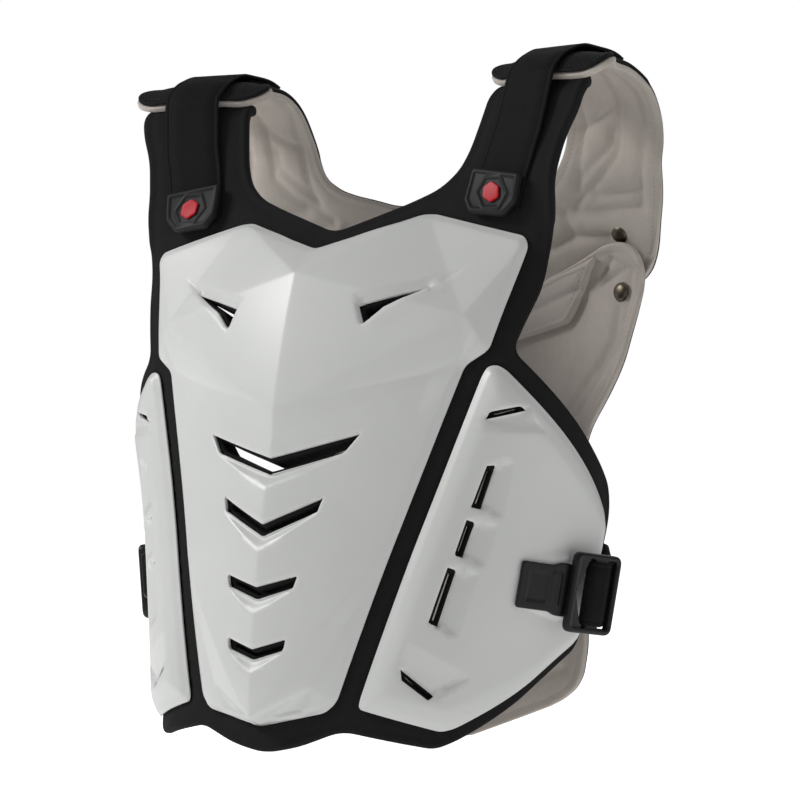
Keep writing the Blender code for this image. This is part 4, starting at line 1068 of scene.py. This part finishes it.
def groove_along(points, line, depth, width):
    away = distance_to(points, segments_of(np.array(in_metres(line)), closed=False))
    return depth * np.exp(-((away / width) ** 2)) + PILLOW * np.exp(-((away / PILLOW_REACH) ** 2))


def lining_relief(points, rim):
    """Inside of the upper back: raised long cushions on the wings, with channels."""
    away = np.abs(points)
    lift = 0.0
    for line in WING_CHANNELS:
        lift = lift + groove_along(away, line, CHANNEL_DEPTH, CHANNEL_WIDTH)
    return np.minimum(lift, 0.0042) - PILLOW_CROWN - rim(points)


def lower_relief(points, rim):
    away = np.abs(points)
    lift = rim(points)
    for line in LOWER_CHANNELS:
        lift = lift - groove_along(away, line, CHANNEL_DEPTH, CHANNEL_WIDTH)
    return np.maximum(lift, -0.0042) + PILLOW_CROWN


def flap_line(points):
    return -groove_along(np.abs(points), FLAP_CHANNEL, CHANNEL_DEPTH, CHANNEL_WIDTH)


FLAP_REST = REST * 1.8     # between the lining and the flap
CHANNEL_DEPTH, CHANNEL_WIDTH = 0.0020, 0.0024
PILLOW, PILLOW_REACH, PILLOW_CROWN = 0.0012, 0.0070, 0.0020
# Sewn or pressed channels, one side: distance out, height
WING_CHANNELS = (
    ((0.814, 1.090), (0.814, 1.008), (0.850, 0.957), (0.853, 0.910), (0.850, 0.852),
     (0.808, 0.788)),
    ((0.808, 0.787), (0.718, 0.786), (0.613, 0.783), (0.532, 0.786)),
    ((0.763, 1.090), (0.763, 0.996), (0.760, 0.948), (0.757, 0.898), (0.742, 0.858),
     (0.664, 0.828), (0.523, 0.793)),
    ((0.760, 0.951), (0.739, 0.932), (0.682, 0.916), (0.631, 0.906)),
    ((0.730, 0.902), (0.721, 0.876), (0.673, 0.859), (0.580, 0.830)),
    ((0.960, 1.120), (0.967, 1.081), (0.925, 0.966), (0.925, 0.906), (0.925, 0.842),
     (0.874, 0.774), (0.814, 0.718)),
    ((0.631, 0.806), (0.733, 0.808), (0.820, 0.810)),
    ((0.472, 0.783), (0.493, 0.752), (0.649, 0.748)),
    ((0.493, 0.752), (0.400, 0.738), (0.000, 0.722)),
    ((0.601, 1.080), (0.601, 0.992), (0.619, 0.918), (0.589, 0.853), (0.562, 0.818)),
    ((0.000, 0.772), (0.400, 0.790), (0.472, 0.783)),
)
LOWER_CHANNELS = (
    ((0.719, 0.638), (0.710, 0.591), (0.656, 0.558), (0.509, 0.492), (0.000, 0.442)),
    ((0.764, 0.694), (0.761, 0.648), (0.734, 0.582), (0.689, 0.558), (0.545, 0.483),
     (0.000, 0.433)),
    ((0.632, 0.693), (0.677, 0.724), (0.749, 0.702), (0.644, 0.682)),
    ((0.680, 0.476), (0.608, 0.454)),
    ((0.809, 0.693), (0.833, 0.646), (0.806, 0.574)),
    ((0.520, 0.400), (0.520, 0.250), (0.545, 0.180), (0.500, 0.110), (0.000, 0.050)),
)
FLAP_CHANNEL = ((0.000, 0.610), (0.339, 0.647), (0.468, 0.664), (0.588, 0.679), (0.660, 0.689))


def smoothed_line(rows, rounds=3):
    """Corners of an open line cut back, ends kept."""
    rows = np.asarray(rows, float)
    for _ in range(rounds):
        first = rows[:-1] * 0.75 + rows[1:] * 0.25
        second = rows[:-1] * 0.25 + rows[1:] * 0.75
        middle = np.stack((first, second), axis=1).reshape(-1, rows.shape[1])
        rows = np.vstack((rows[:1], middle, rows[-1:]))
    return rows


# Half section of webbing. Columns: share of the half width, share of the half thickness
WEB_SECTION = ((-1.0, 0.0), (-0.985, 0.7), (-0.95, 1.0), (-0.88, 1.0), (-0.86, 0.72),
               (-0.84, 1.0), (-0.42, 1.05), (0.0, 1.08), (0.42, 1.05), (0.84, 1.0),
               (0.86, 0.72), (0.88, 1.0), (0.95, 1.0), (0.985, 0.7))


def ribbon(name, stations, width, thick):
    """Webbing through its stations, with rounded selvedges and two sewn rows."""
    rows = smoothed_line([np.concatenate((centre, across)) for centre, across in stations])
    rows = spaced(rows, 0.0022, closed=False)
    centre, across = rows[:, :3], rows[:, 3:]
    tangent = np.gradient(centre, axis=0)
    tangent /= np.linalg.norm(tangent, axis=1, keepdims=True)
    across = across - tangent * (across * tangent).sum(axis=1, keepdims=True)
    across /= np.linalg.norm(across, axis=1, keepdims=True)
    normal = np.cross(tangent, across)
    upper = np.array(WEB_SECTION + ((1.0, 0.0),))
    section = np.vstack((upper, [(-s, -t) for s, t in WEB_SECTION[1:]]))
    count, around = len(rows), len(section)
    points = (centre[:, None] + across[:, None] * section[None, :, :1] * width / 2
              + normal[:, None] * section[None, :, 1:] * thick / 2).reshape(-1, 3)
    length = np.concatenate(([0.0], np.cumsum(np.linalg.norm(np.diff(centre, axis=0), axis=1))))
    flat = np.stack((np.tile(section[:, 0] * width / 2, count), np.repeat(length, around)), -1)
    rim = width / 2 - np.abs(flat[:, 0])
    faces = []
    for i in range(count - 1):
        for k in range(around):
            a, b = i * around + k, i * around + (k + 1) % around
            faces += [(a, b, b + around), (a, b + around, a + around)]
    for first, turn in ((0, -1), ((count - 1) * around, 1)):
        for k in range(1, around - 1):
            faces.append((first, first + k, first + k + 1)[::turn])
    return mesh_object(name, points, np.array(faces), FINISHES["webbing"], flat, rim)


def stations_on(at, side, outs, heights, lifts):
    """Centres and directions across for a strap that runs up a surface."""
    flat = np.stack((side * np.array(outs) * HALF_GIRTH, np.array(heights)), axis=1)
    place, normal = at(flat)
    beside = at(flat + (0.0005, 0.0))[0] - at(flat - (0.0005, 0.0))[0]
    beside /= np.linalg.norm(beside, axis=1, keepdims=True)
    return list(zip(place + normal * np.array(lifts)[:, None], beside))


WEB_REST = REST * 1.6                  # between the cloth and the webbing
BAND_OUT, BAND_SPREAD = 0.70, 0.03     # band's place on the back, and its run outwards
STRAP_OUT, STRAP_SPREAD = 0.735, 0.015


def shoulder_strap(label, side):
    """Band up the back of a wing, and the strap over it to the chest."""
    low = WING_THICK + WEB_REST + STRAP_THICK / 2
    high = low + STRAP_THICK + REST
    t = np.linspace(0.0, 1.0, BAND_STATIONS)
    start, end = BAND_START * TORSO_HEIGHT, CREST + WING_RUN / 2
    band = stations_on(ON_BACK, side, BAND_OUT + BAND_SPREAD * t,
                       start + (end - start) * t, low + 0 * t)
    put(ribbon(f"strap_band_web_{label}", band, BAND_WIDTH, STRAP_THICK), "webbing",
        f"strap_band_{label}")
    tip = CREST + WING_RUN + TIP_RADIUS * TIP_REACH
    t = np.linspace(0.0, 1.0, STRAP_STATIONS)
    back_end = CREST - SHOULDER_RADIUS * 0.35
    strap = stations_on(ON_BACK, side, STRAP_OUT - STRAP_SPREAD * t,
                        back_end + (tip - back_end) * t,
                        high + (low - high) * smooth((t - 0.55) / 0.25))
    over, across = strap[-1]
    up = ON_BACK(flat_up(side, 0.72, tip + 0.0005))[0] - ON_BACK(flat_up(side, 0.72, tip))[0]
    below = over + up[0] / np.linalg.norm(up[0]) * DROP_STEP
    seat = STRAP_THICK / 2 + WEB_REST
    outs, heights, lifts = np.array(STRAP_ON_CHEST).T
    lifts[0] = 1.0
    chest = stations_on(ON_FRONT, side, outs, heights * TORSO_HEIGHT, seat + lifts * STRAP_THICK)
    pad_top, pad_across = chest[0]
    for share in (0.0, 0.33, 0.66):
        strap.append((below + (pad_top - below) * share, across + (pad_across - across) * share))
    put(ribbon(f"shoulder_strap_web_{label}", strap + chest, STRAP_WIDTH, STRAP_THICK),
        "webbing", f"shoulder_strap_{label}")


def flat_up(side, out, height):
    return np.array(((side * out * HALF_GIRTH, height),))


def placed_at(at, side, place, offset):
    """Matrix at a place on a surface: X round the body, Y up, Z away from it."""
    flat = flat_of(place) * (side, 1.0)
    origin, normal = (Vector(found[0]) for found in at(flat))
    along = Vector((at(flat + (0.0005, 0.0))[0] - at(flat - (0.0005, 0.0))[0])[0])
    along = along.normalized() * side
    matrix = Matrix.Identity(4)
    for column, axis in enumerate((along, normal.cross(along) * side, normal)):
        matrix.col[column][:3] = axis
    matrix.translation = origin + normal * offset
    return matrix


def box_outline(x0, x1, y0, y1, radius):
    return rounded([(x0, y0), (x1, y0), (x1, y1), (x0, y1)], radius)


TAB_OUTLINE = rounded(in_metres(SHOULDER_TAB_EDGE), 0.0025)


def tab_face(points):
    """Raised bevelled rim, and a sunk six-sided field round the badge."""
    away = np.abs(points)
    rim = distance_to(away, segments_of(TAB_OUTLINE))
    rise = 0.0009 * (smooth(rim / 0.0015) - smooth((rim - 0.0026) / 0.0012))
    centre = flat_of(BADGE_AT)[0]
    turn = np.arctan2(away[:, 1] - centre[1], away[:, 0] - centre[0])
    reach = np.linalg.norm(away - centre, axis=1) * np.cos((turn + 9 * math.pi) % (math.pi / 3)
                                                           - math.pi / 6)
    field = 0.0008 * (smooth((reach - 0.0092) / 0.0010) - smooth((reach - 0.0112) / 0.0010))
    return STRAP_THICK + REST * 3 + TAB_THICK - 0.0004 + rise + field


def shoulder_tab(label, side):
    base = STRAP_THICK + REST * 3
    tab = panel(f"strap_tab_cover_{label}", ON_FRONT, TAB_OUTLINE, tab_face, base, side=side,
                step=0.0010, edge=0.0008, fine=0.0010, finish=FINISHES["rubber"])
    put(tab, "rubber", f"strap_tab_{label}")
    centre, six = flat_of(BADGE_AT)[0], []
    for k in range(6):
        angle = math.radians(60 * k + 30)
        six.append(centre + BADGE_RADIUS * np.array((math.cos(angle), math.sin(angle))))
    top = base + TAB_THICK - 0.0004
    badge = panel(f"tab_badge_cover_{label}", ON_FRONT, rounded(six, 0.0012), top + 0.0016,
                  top + 0.0001, side=side, step=0.0014, edge=0.0006, fine=0.0007,
                  finish=FINISHES["badge"])
    put(badge, "badge", f"tab_badge_{label}")


def tongue_face(points):
    """Two raised ribs and a sunk window on the tongue plate."""
    x, y = points[:, 0], np.abs(points[:, 1])
    window = smooth((x - 0.006) / 0.001) * smooth((0.022 - x) / 0.001) * smooth((0.0105 - y) / 0.001)
    rib = np.exp(-(((x - 0.026) / 0.0012) ** 2)) + np.exp(-(((x - 0.031) / 0.0012) ** 2))
    return TONGUE_THICK - 0.0007 * window + 0.0006 * rib * smooth((0.012 - y) / 0.002)


def waist_buckle(label, side):
    shell_at = SIDE_RISE + SIDE_SEAT + SHELL_WALL
    seat = placed_at(ON_FRONT, side, BUCKLE_AT, shell_at + FACE_RISE + GAP)
    seat = seat @ Matrix.Rotation(math.radians(-BUCKLE_TILT), 4, "Z")
    half, cut = TONGUE_WIDTH / 2, 0.0022
    outline = rounded([(0.0, -half), (0.026, -half), (0.031, -half - cut),
                       (TONGUE_LENGTH, -half - cut), (TONGUE_LENGTH, half + cut),
                       (0.031, half + cut), (0.026, half), (0.0, half)], 0.0022)
    tongue = panel(f"buckle_tongue_plate_{label}", in_plane(seat), outline, tongue_face, 0.0,
                   side=1, step=0.0012, edge=0.0009, fine=0.0012, finish=FINISHES["plastic"])
    put(tongue, "plastic", f"buckle_tongue_{label}")
    dip = (TONGUE_LENGTH - BUCKLE_START) * math.tan(math.radians(BUCKLE_FOLD))
    frame_at = seat @ Matrix.Translation((BUCKLE_START, 0.0, TONGUE_THICK + dip + GAP))
    frame_at = frame_at @ Matrix.Rotation(math.radians(BUCKLE_FOLD), 4, "Y")
    tall = WAIST_WEB_WIDTH / 2 + BUCKLE_PLAY + BUCKLE_BORDER
    slot, inner = tall - BUCKLE_BORDER, BUCKLE_LENGTH - BUCKLE_BORDER
    bar0 = (BUCKLE_LENGTH - BUCKLE_BAR) / 2 + BUCKLE_CORNER / 2
    bar1 = bar0 + BUCKLE_BAR
    front = [(BUCKLE_BORDER, 0.0), (bar0 - BUCKLE_CORNER, -slot), (bar0, -slot), (bar0, slot),
             (bar0 - BUCKLE_CORNER, slot)]
    rear = [(bar1, -slot), (inner, -slot), (inner, slot), (bar1, slot)]
    rim = segments_of(box_outline(0.0, BUCKLE_LENGTH, -tall, tall, BUCKLE_CORNER * 1.6))

    def frame_face(points):
        away = distance_to(points, rim)
        return BUCKLE_THICK + 0.0007 * (smooth(away / 0.0016) - smooth((away - 0.0030) / 0.0012))

    ring = panel(f"buckle_frame_ring_{label}", in_plane(frame_at),
                 box_outline(0.0, BUCKLE_LENGTH, -tall, tall, BUCKLE_CORNER * 1.6), frame_face,
                 0.0, holes=[rounded(front, 0.0015), rounded(rear, 0.0015)], step=0.0014,
                 edge=0.0013, fine=0.0012, finish=FINISHES["plastic"])
    put(ring, "plastic", f"buckle_frame_{label}")
    turn = GAP * 2 + STRAP_THICK / 2
    over = BUCKLE_THICK + turn
    loop = [(bar0 - turn, BUCKLE_THICK * 0.1), (bar0 - turn, BUCKLE_THICK * 0.75),
            (bar0 - turn * 0.4, over), (bar0 + turn * 0.8, over + GAP),
            (bar1 - turn * 0.8, over + GAP), (bar1 + turn * 0.4, over),
            (bar1 + turn, BUCKLE_THICK * 0.75), (bar1 + turn, BUCKLE_THICK * 0.1),
            (bar1 + turn * 1.6, -turn), (BUCKLE_LENGTH + BUCKLE_BORDER, -turn * 2.0)]
    across = np.array(frame_at.to_3x3() @ Vector((0.0, 1.0, 0.0)))
    strap = [(np.array(frame_at @ Vector((x, 0.0, z))), across) for x, z in loop]
    level = BUCKLE_AT[1] * TORSO_HEIGHT
    rest = REST + STRAP_THICK / 2 - YOKE_SPACING
    outs = (0.64, 0.56, 0.50, 0.44, 0.38)
    lifts = [rest + (STRAP_THICK * 2.5 if out == 0.64 else 0.0) for out in outs]
    back = stations_on(ON_BACK, side, outs, [level] * len(outs), lifts)
    upright = np.array((0.0, 0.0, 1.0))
    for share in (0.33, 0.66):
        strap.append((strap[9][0] + (back[0][0] - strap[9][0]) * share, upright))
    strap += [(centre, upright) for centre, _ in back]
    put(ribbon(f"waist_strap_web_{label}", strap, WAIST_WEB_WIDTH, STRAP_THICK), "webbing",
        f"waist_strap_{label}")


# Side of a snap from its foot: share of the height, share of the radius
SNAP_PROFILE = ((0.0, 1.0), (0.12, 1.02), (0.24, 1.01), (0.30, 0.96), (0.33, 0.90), (0.48, 0.85),
                (0.66, 0.74), (0.81, 0.59), (0.92, 0.41), (0.98, 0.21), (1.0, 0.0001))
SNAP_SIDES = 48


def snap(name, node, side, place, offset):
    matrix = placed_at(ON_BACK, side, place, offset)
    points, faces = [], []
    for height, radius in SNAP_PROFILE:
        for k in range(SNAP_SIDES):
            angle = math.tau * k / SNAP_SIDES
            points.append(matrix @ Vector((SNAP_RADIUS * radius * math.cos(angle),
                                           SNAP_RADIUS * radius * math.sin(angle),
                                           -SNAP_HEIGHT * height)))
    for row in range(len(SNAP_PROFILE) - 1):
        for k in range(SNAP_SIDES):
            a, b = row * SNAP_SIDES + k, row * SNAP_SIDES + (k + 1) % SNAP_SIDES
            faces += [(a, b, b + SNAP_SIDES), (a, b + SNAP_SIDES, a + SNAP_SIDES)]
    for first, turn in ((0, -1), ((len(SNAP_PROFILE) - 1) * SNAP_SIDES, 1)):
        for k in range(1, SNAP_SIDES - 1):
            faces.append((first, first + k, first + k + 1)[::turn])
    cap = mesh_object(name, [tuple(p) for p in points], np.array(faces), FINISHES["snap"])
    built = bmesh.new()
    built.from_mesh(cap.data)
    bmesh.ops.recalc_face_normals(built, faces=built.faces)
    built.to_mesh(cap.data)
    built.free()
    put(cap, "snap", node)


def make_straps_and_hardware():
    face = -YOKE_SPACING - BACK_THICK - GAP - LINING_THICK - REST
    for label, side in (("left", 1), ("right", -1)):
        shoulder_strap(label, side)
        shoulder_tab(label, side)
        waist_buckle(label, side)
        snap(f"snap_upper_cap_{label}", f"snap_upper_{label}", side, SNAP_ON_UPPER, -REST)
        snap(f"snap_lower_cap_{label}", f"snap_lower_{label}", side, SNAP_ON_LOWER, face)


def plain(box):
    return [[float(value) for value in corner] for corner in box]


def stitch_tree():
    """Stitches of even length along a piece's sewn lines, sunk halfway into the cloth."""
    tree = bpy.data.node_groups.new("Stitches", "GeometryNodeTree")
    for label, kind, value in (("Geometry", "NodeSocketGeometry", None),
                               ("Spacing", FLOAT, 0.0036), ("Stitch Length", FLOAT, 0.0026),
                               ("Thread Radius", FLOAT, 0.00032),
                               ("Finish", "NodeSocketMaterial", None)):
        socket = tree.interface.new_socket(label, in_out="INPUT", socket_type=kind)
        if value is not None:
            socket.default_value = value
    tree.interface.new_socket("Geometry", in_out="OUTPUT", socket_type="NodeSocketGeometry")
    start, end = tree.nodes.new("NodeGroupInput"), tree.nodes.new("NodeGroupOutput")
    run = wire(tree, "GeometryNodeCurveToPoints",
               {"Curve": start.outputs["Geometry"], "Length": start.outputs["Spacing"]},
               mode="LENGTH")
    thread = wire(tree, "GeometryNodeMeshUVSphere", {"Segments": 6, "Rings": 5, "Radius": 1.0})
    half = wire(tree, "ShaderNodeMath", {0: start.outputs["Stitch Length"], 1: 0.5},
                operation="MULTIPLY").outputs[0]
    size = wire(tree, "ShaderNodeCombineXYZ", {0: start.outputs["Thread Radius"],
                1: start.outputs["Thread Radius"], 2: half}).outputs[0]
    laid = wire(tree, "GeometryNodeInstanceOnPoints",
                {"Points": run.outputs["Points"], "Instance": thread.outputs["Mesh"],
                 "Rotation": run.outputs["Rotation"], "Scale": size})
    real = wire(tree, "GeometryNodeRealizeInstances", {0: laid.outputs[0]})
    done = wire(tree, "GeometryNodeSetMaterial", {"Geometry": real.outputs[0],
                "Material": start.outputs["Finish"]})
    tree.links.new(done.outputs[0], end.inputs[0])
    return tree


def stitched(name, lines, finish, slot, spacing=0.0036, length=0.0026, radius=0.00032):
    """Sewn lines, given as runs of points, made into stitches."""
    data = bpy.data.curves.new(name, "CURVE")
    data.dimensions = "3D"
    for line in lines:
        spline = data.splines.new("POLY")
        spline.points.add(len(line) - 1)
        for point, place in zip(spline.points, line):
            point.co = (*place, 1.0)
    guide = bpy.data.objects.new(name + "_guide", data)
    bpy.context.scene.collection.objects.link(guide)
    modifier = guide.modifiers.new("stitches", "NODES")
    modifier.node_group = STITCHES
    sockets = {item.name: item.identifier for item in STITCHES.interface.items_tree
               if item.in_out == "INPUT"}
    modifier[sockets["Spacing"]] = spacing
    modifier[sockets["Stitch Length"]] = length
    modifier[sockets["Thread Radius"]] = radius
    modifier[sockets["Finish"]] = FINISHES[finish]
    graph = bpy.context.evaluated_depsgraph_get()
    mesh = bpy.data.meshes.new_from_object(guide.evaluated_get(graph), depsgraph=graph)
    guide.modifiers.remove(modifier)
    bpy.data.objects.remove(guide)
    mesh.name = name
    mesh.shade_smooth()
    if not mesh.materials:
        mesh.materials.append(FINISHES[finish])
    piece = bpy.data.objects.new(name, mesh)
    bpy.context.scene.collection.objects.link(piece)
    return put(piece, slot)


def inset_runs(outline, inset, keep=None, step=0.0018):
    """The line at a distance inside an outline, in runs where it is kept."""
    walls = segments_of(outline)
    rim = spaced(outline, step)
    run = np.roll(rim, -1, axis=0) - np.roll(rim, 1, axis=0)
    run /= np.linalg.norm(run, axis=1, keepdims=True)
    normal = np.stack((run[:, 1], -run[:, 0]), axis=1)
    if not inside(rim[:1] + normal[:1] * 0.001, outline)[0]:
        normal = -normal
    line = rim + normal * inset
    good = distance_to(line, walls) > inset * 0.97
    if keep is not None:
        good &= keep(line)
    runs, current = [], []
    for point, fine in zip(line, good):
        near = not current or np.linalg.norm(point - current[-1]) < step * 4
        if fine and near:
            current.append(point)
        elif fine:
            runs.append(current)
            current = [point]
        elif len(current) > 3:
            runs.append(current)
            current = []
        else:
            current = []
    runs.append(current)
    return [np.array(row) for row in runs if len(row) > 3]


def raised(at, runs, offset):
    found = []
    for run in runs:
        origin, normal = at(run)
        lift = offset(run) if callable(offset) else np.full(len(run), offset)
        found.append(origin + normal * lift[:, None])
    return found


def uncovered(points):
    away = np.abs(points)
    clear = np.minimum(distance_to(points, SHELL_LINES), distance_to(away, SIDE_LINES))
    return ~inside(points, SHELL_OUTLINE) & ~inside(away, SIDE_OUTLINE) & (clear > 0.0012)


def sew_everything():
    pad = inset_runs(PAD_OUTLINE, BINDING_WIDTH, uncovered)
    stitched("pad_edge_stitches", raised(ON_FRONT, pad, lambda p: pad_face(p) + 0.0001),
             "thread", "pad")
    face = -YOKE_SPACING - BACK_THICK - GAP - LINING_THICK
    upper = rounded(both_sides(UPPER_BACK_EDGE), 0.012)
    lower = rounded(both_sides(LOWER_BACK_EDGE), 0.012)
    flap = rounded(both_sides(FLAP_EDGE), 0.005)
    rims = [rim_relief(segments_of(outline)) for outline in (upper, lower)]
    inner = raised(ON_BACK, inset_runs(upper, 0.0055), lambda p: lining_relief(p, rims[0]))
    inner += raised(ON_BACK, inset_runs(lower, 0.0055),
                    lambda p: face - lower_relief(p, rims[1]))
    top = face - FLAP_REST - FLAP_THICK
    inner += raised(ON_BACK, inset_runs(flap, 0.0050), top + 0.0008)
    stitched("lining_stitches", inner, "pale thread", "lining")
    outer = raised(ON_BACK, inset_runs(upper, 0.0055), WING_THICK - 0.0002)
    outer += raised(ON_BACK, inset_runs(lower, 0.0055), 0.0002 - YOKE_SPACING)
    stitched("back_edge_stitches", outer, "thread", "pad")


STITCHES = stitch_tree()


def photo_camera():
    data = bpy.data.cameras.new("camera")
    data.sensor_width, data.lens = 36.0, LENS
    turn, lift = math.radians(AZIMUTH), math.radians(ELEVATION)
    target = Vector((0.0, 0.0, -0.235))
    away = Vector((math.sin(turn) * math.cos(lift), -math.cos(turn) * math.cos(lift),
                   math.sin(lift)))
    camera = bpy.data.objects.new("camera", data)
    camera.location = target + away * CAMERA_AWAY
    camera.rotation_euler = (-away).to_track_quat("-Z", "Y").to_euler()
    bpy.context.scene.collection.objects.link(camera)
    bpy.context.scene.camera = camera


def soft_light(name, azimuth, elevation, away, size, power):
    data = bpy.data.lights.new(name, "AREA")
    data.shape, data.size, data.energy = "DISK", size, power
    turn, lift = math.radians(azimuth), math.radians(elevation)
    place = Vector((math.sin(turn) * math.cos(lift), -math.cos(turn) * math.cos(lift),
                    math.sin(lift)))
    light = bpy.data.objects.new(name, data)
    light.location = Vector((0.0, 0.0, -0.24)) + place * away
    light.rotation_euler = (-place).to_track_quat("-Z", "Y").to_euler()
    bpy.context.scene.collection.objects.link(light)


def studio():
    floor = bpy.data.meshes.new("floor")
    half = 6.0
    floor.from_pydata([(-half, -half, FLOOR_LEVEL), (half, -half, FLOOR_LEVEL),
                       (half, half, FLOOR_LEVEL), (-half, half, FLOOR_LEVEL)], [],
                      [(0, 1, 2, 3)])
    plain, tree, shader = finish_named("Pale floor", specular=0.1)
    shader.inputs["Base Color"].default_value = (0.92, 0.92, 0.92, 1.0)
    shader.inputs["Roughness"].default_value = 0.9
    shader.inputs["Emission Color"].default_value = (1.0, 1.0, 1.0, 1.0)
    direct = wire(tree, "ShaderNodeLightPath").outputs["Is Camera Ray"]
    tree.links.new(ranged(tree, direct, 0.0, 1.0, 0.40, 1.0), shader.inputs["Emission Strength"])
    floor.materials.append(plain)
    ground = bpy.data.objects.new("floor", floor)
    bpy.context.scene.collection.objects.link(ground)
    bpy.context.scene.view_settings.view_transform = "Standard"
    world = bpy.data.worlds.new("studio")
    world.use_nodes = True
    tree = world.node_tree
    seen = wire(tree, "ShaderNodeLightPath").outputs["Is Camera Ray"]
    strength = ranged(tree, seen, 0.0, 1.0, WORLD_STRENGTH, 1.0)
    sky = tree.nodes["Background"]
    sky.inputs["Color"].default_value = (1.0, 1.0, 1.0, 1.0)
    tree.links.new(strength, sky.inputs["Strength"])
    bpy.context.scene.world = world
    for row in LIGHTS:
        soft_light(*row)


# Camera at the photograph's angle, and the studio round it
AZIMUTH, ELEVATION, CAMERA_AWAY, LENS = 30.65, -1.4, 2.053, 125.6
FLOOR_LEVEL = -0.4945
WORLD_STRENGTH = 0.25
LIGHTS = (
    ("key", -50.0, 36.0, 1.8, 0.6, 13.5),
    ("fill", 85.0, 10.0, 2.0, 1.2, 0.8),
    ("back", 185.0, 40.0, 1.8, 1.0, 3.5),
)

make_front()
make_back()
make_straps_and_hardware()
sew_everything()
photo_camera()
studio()
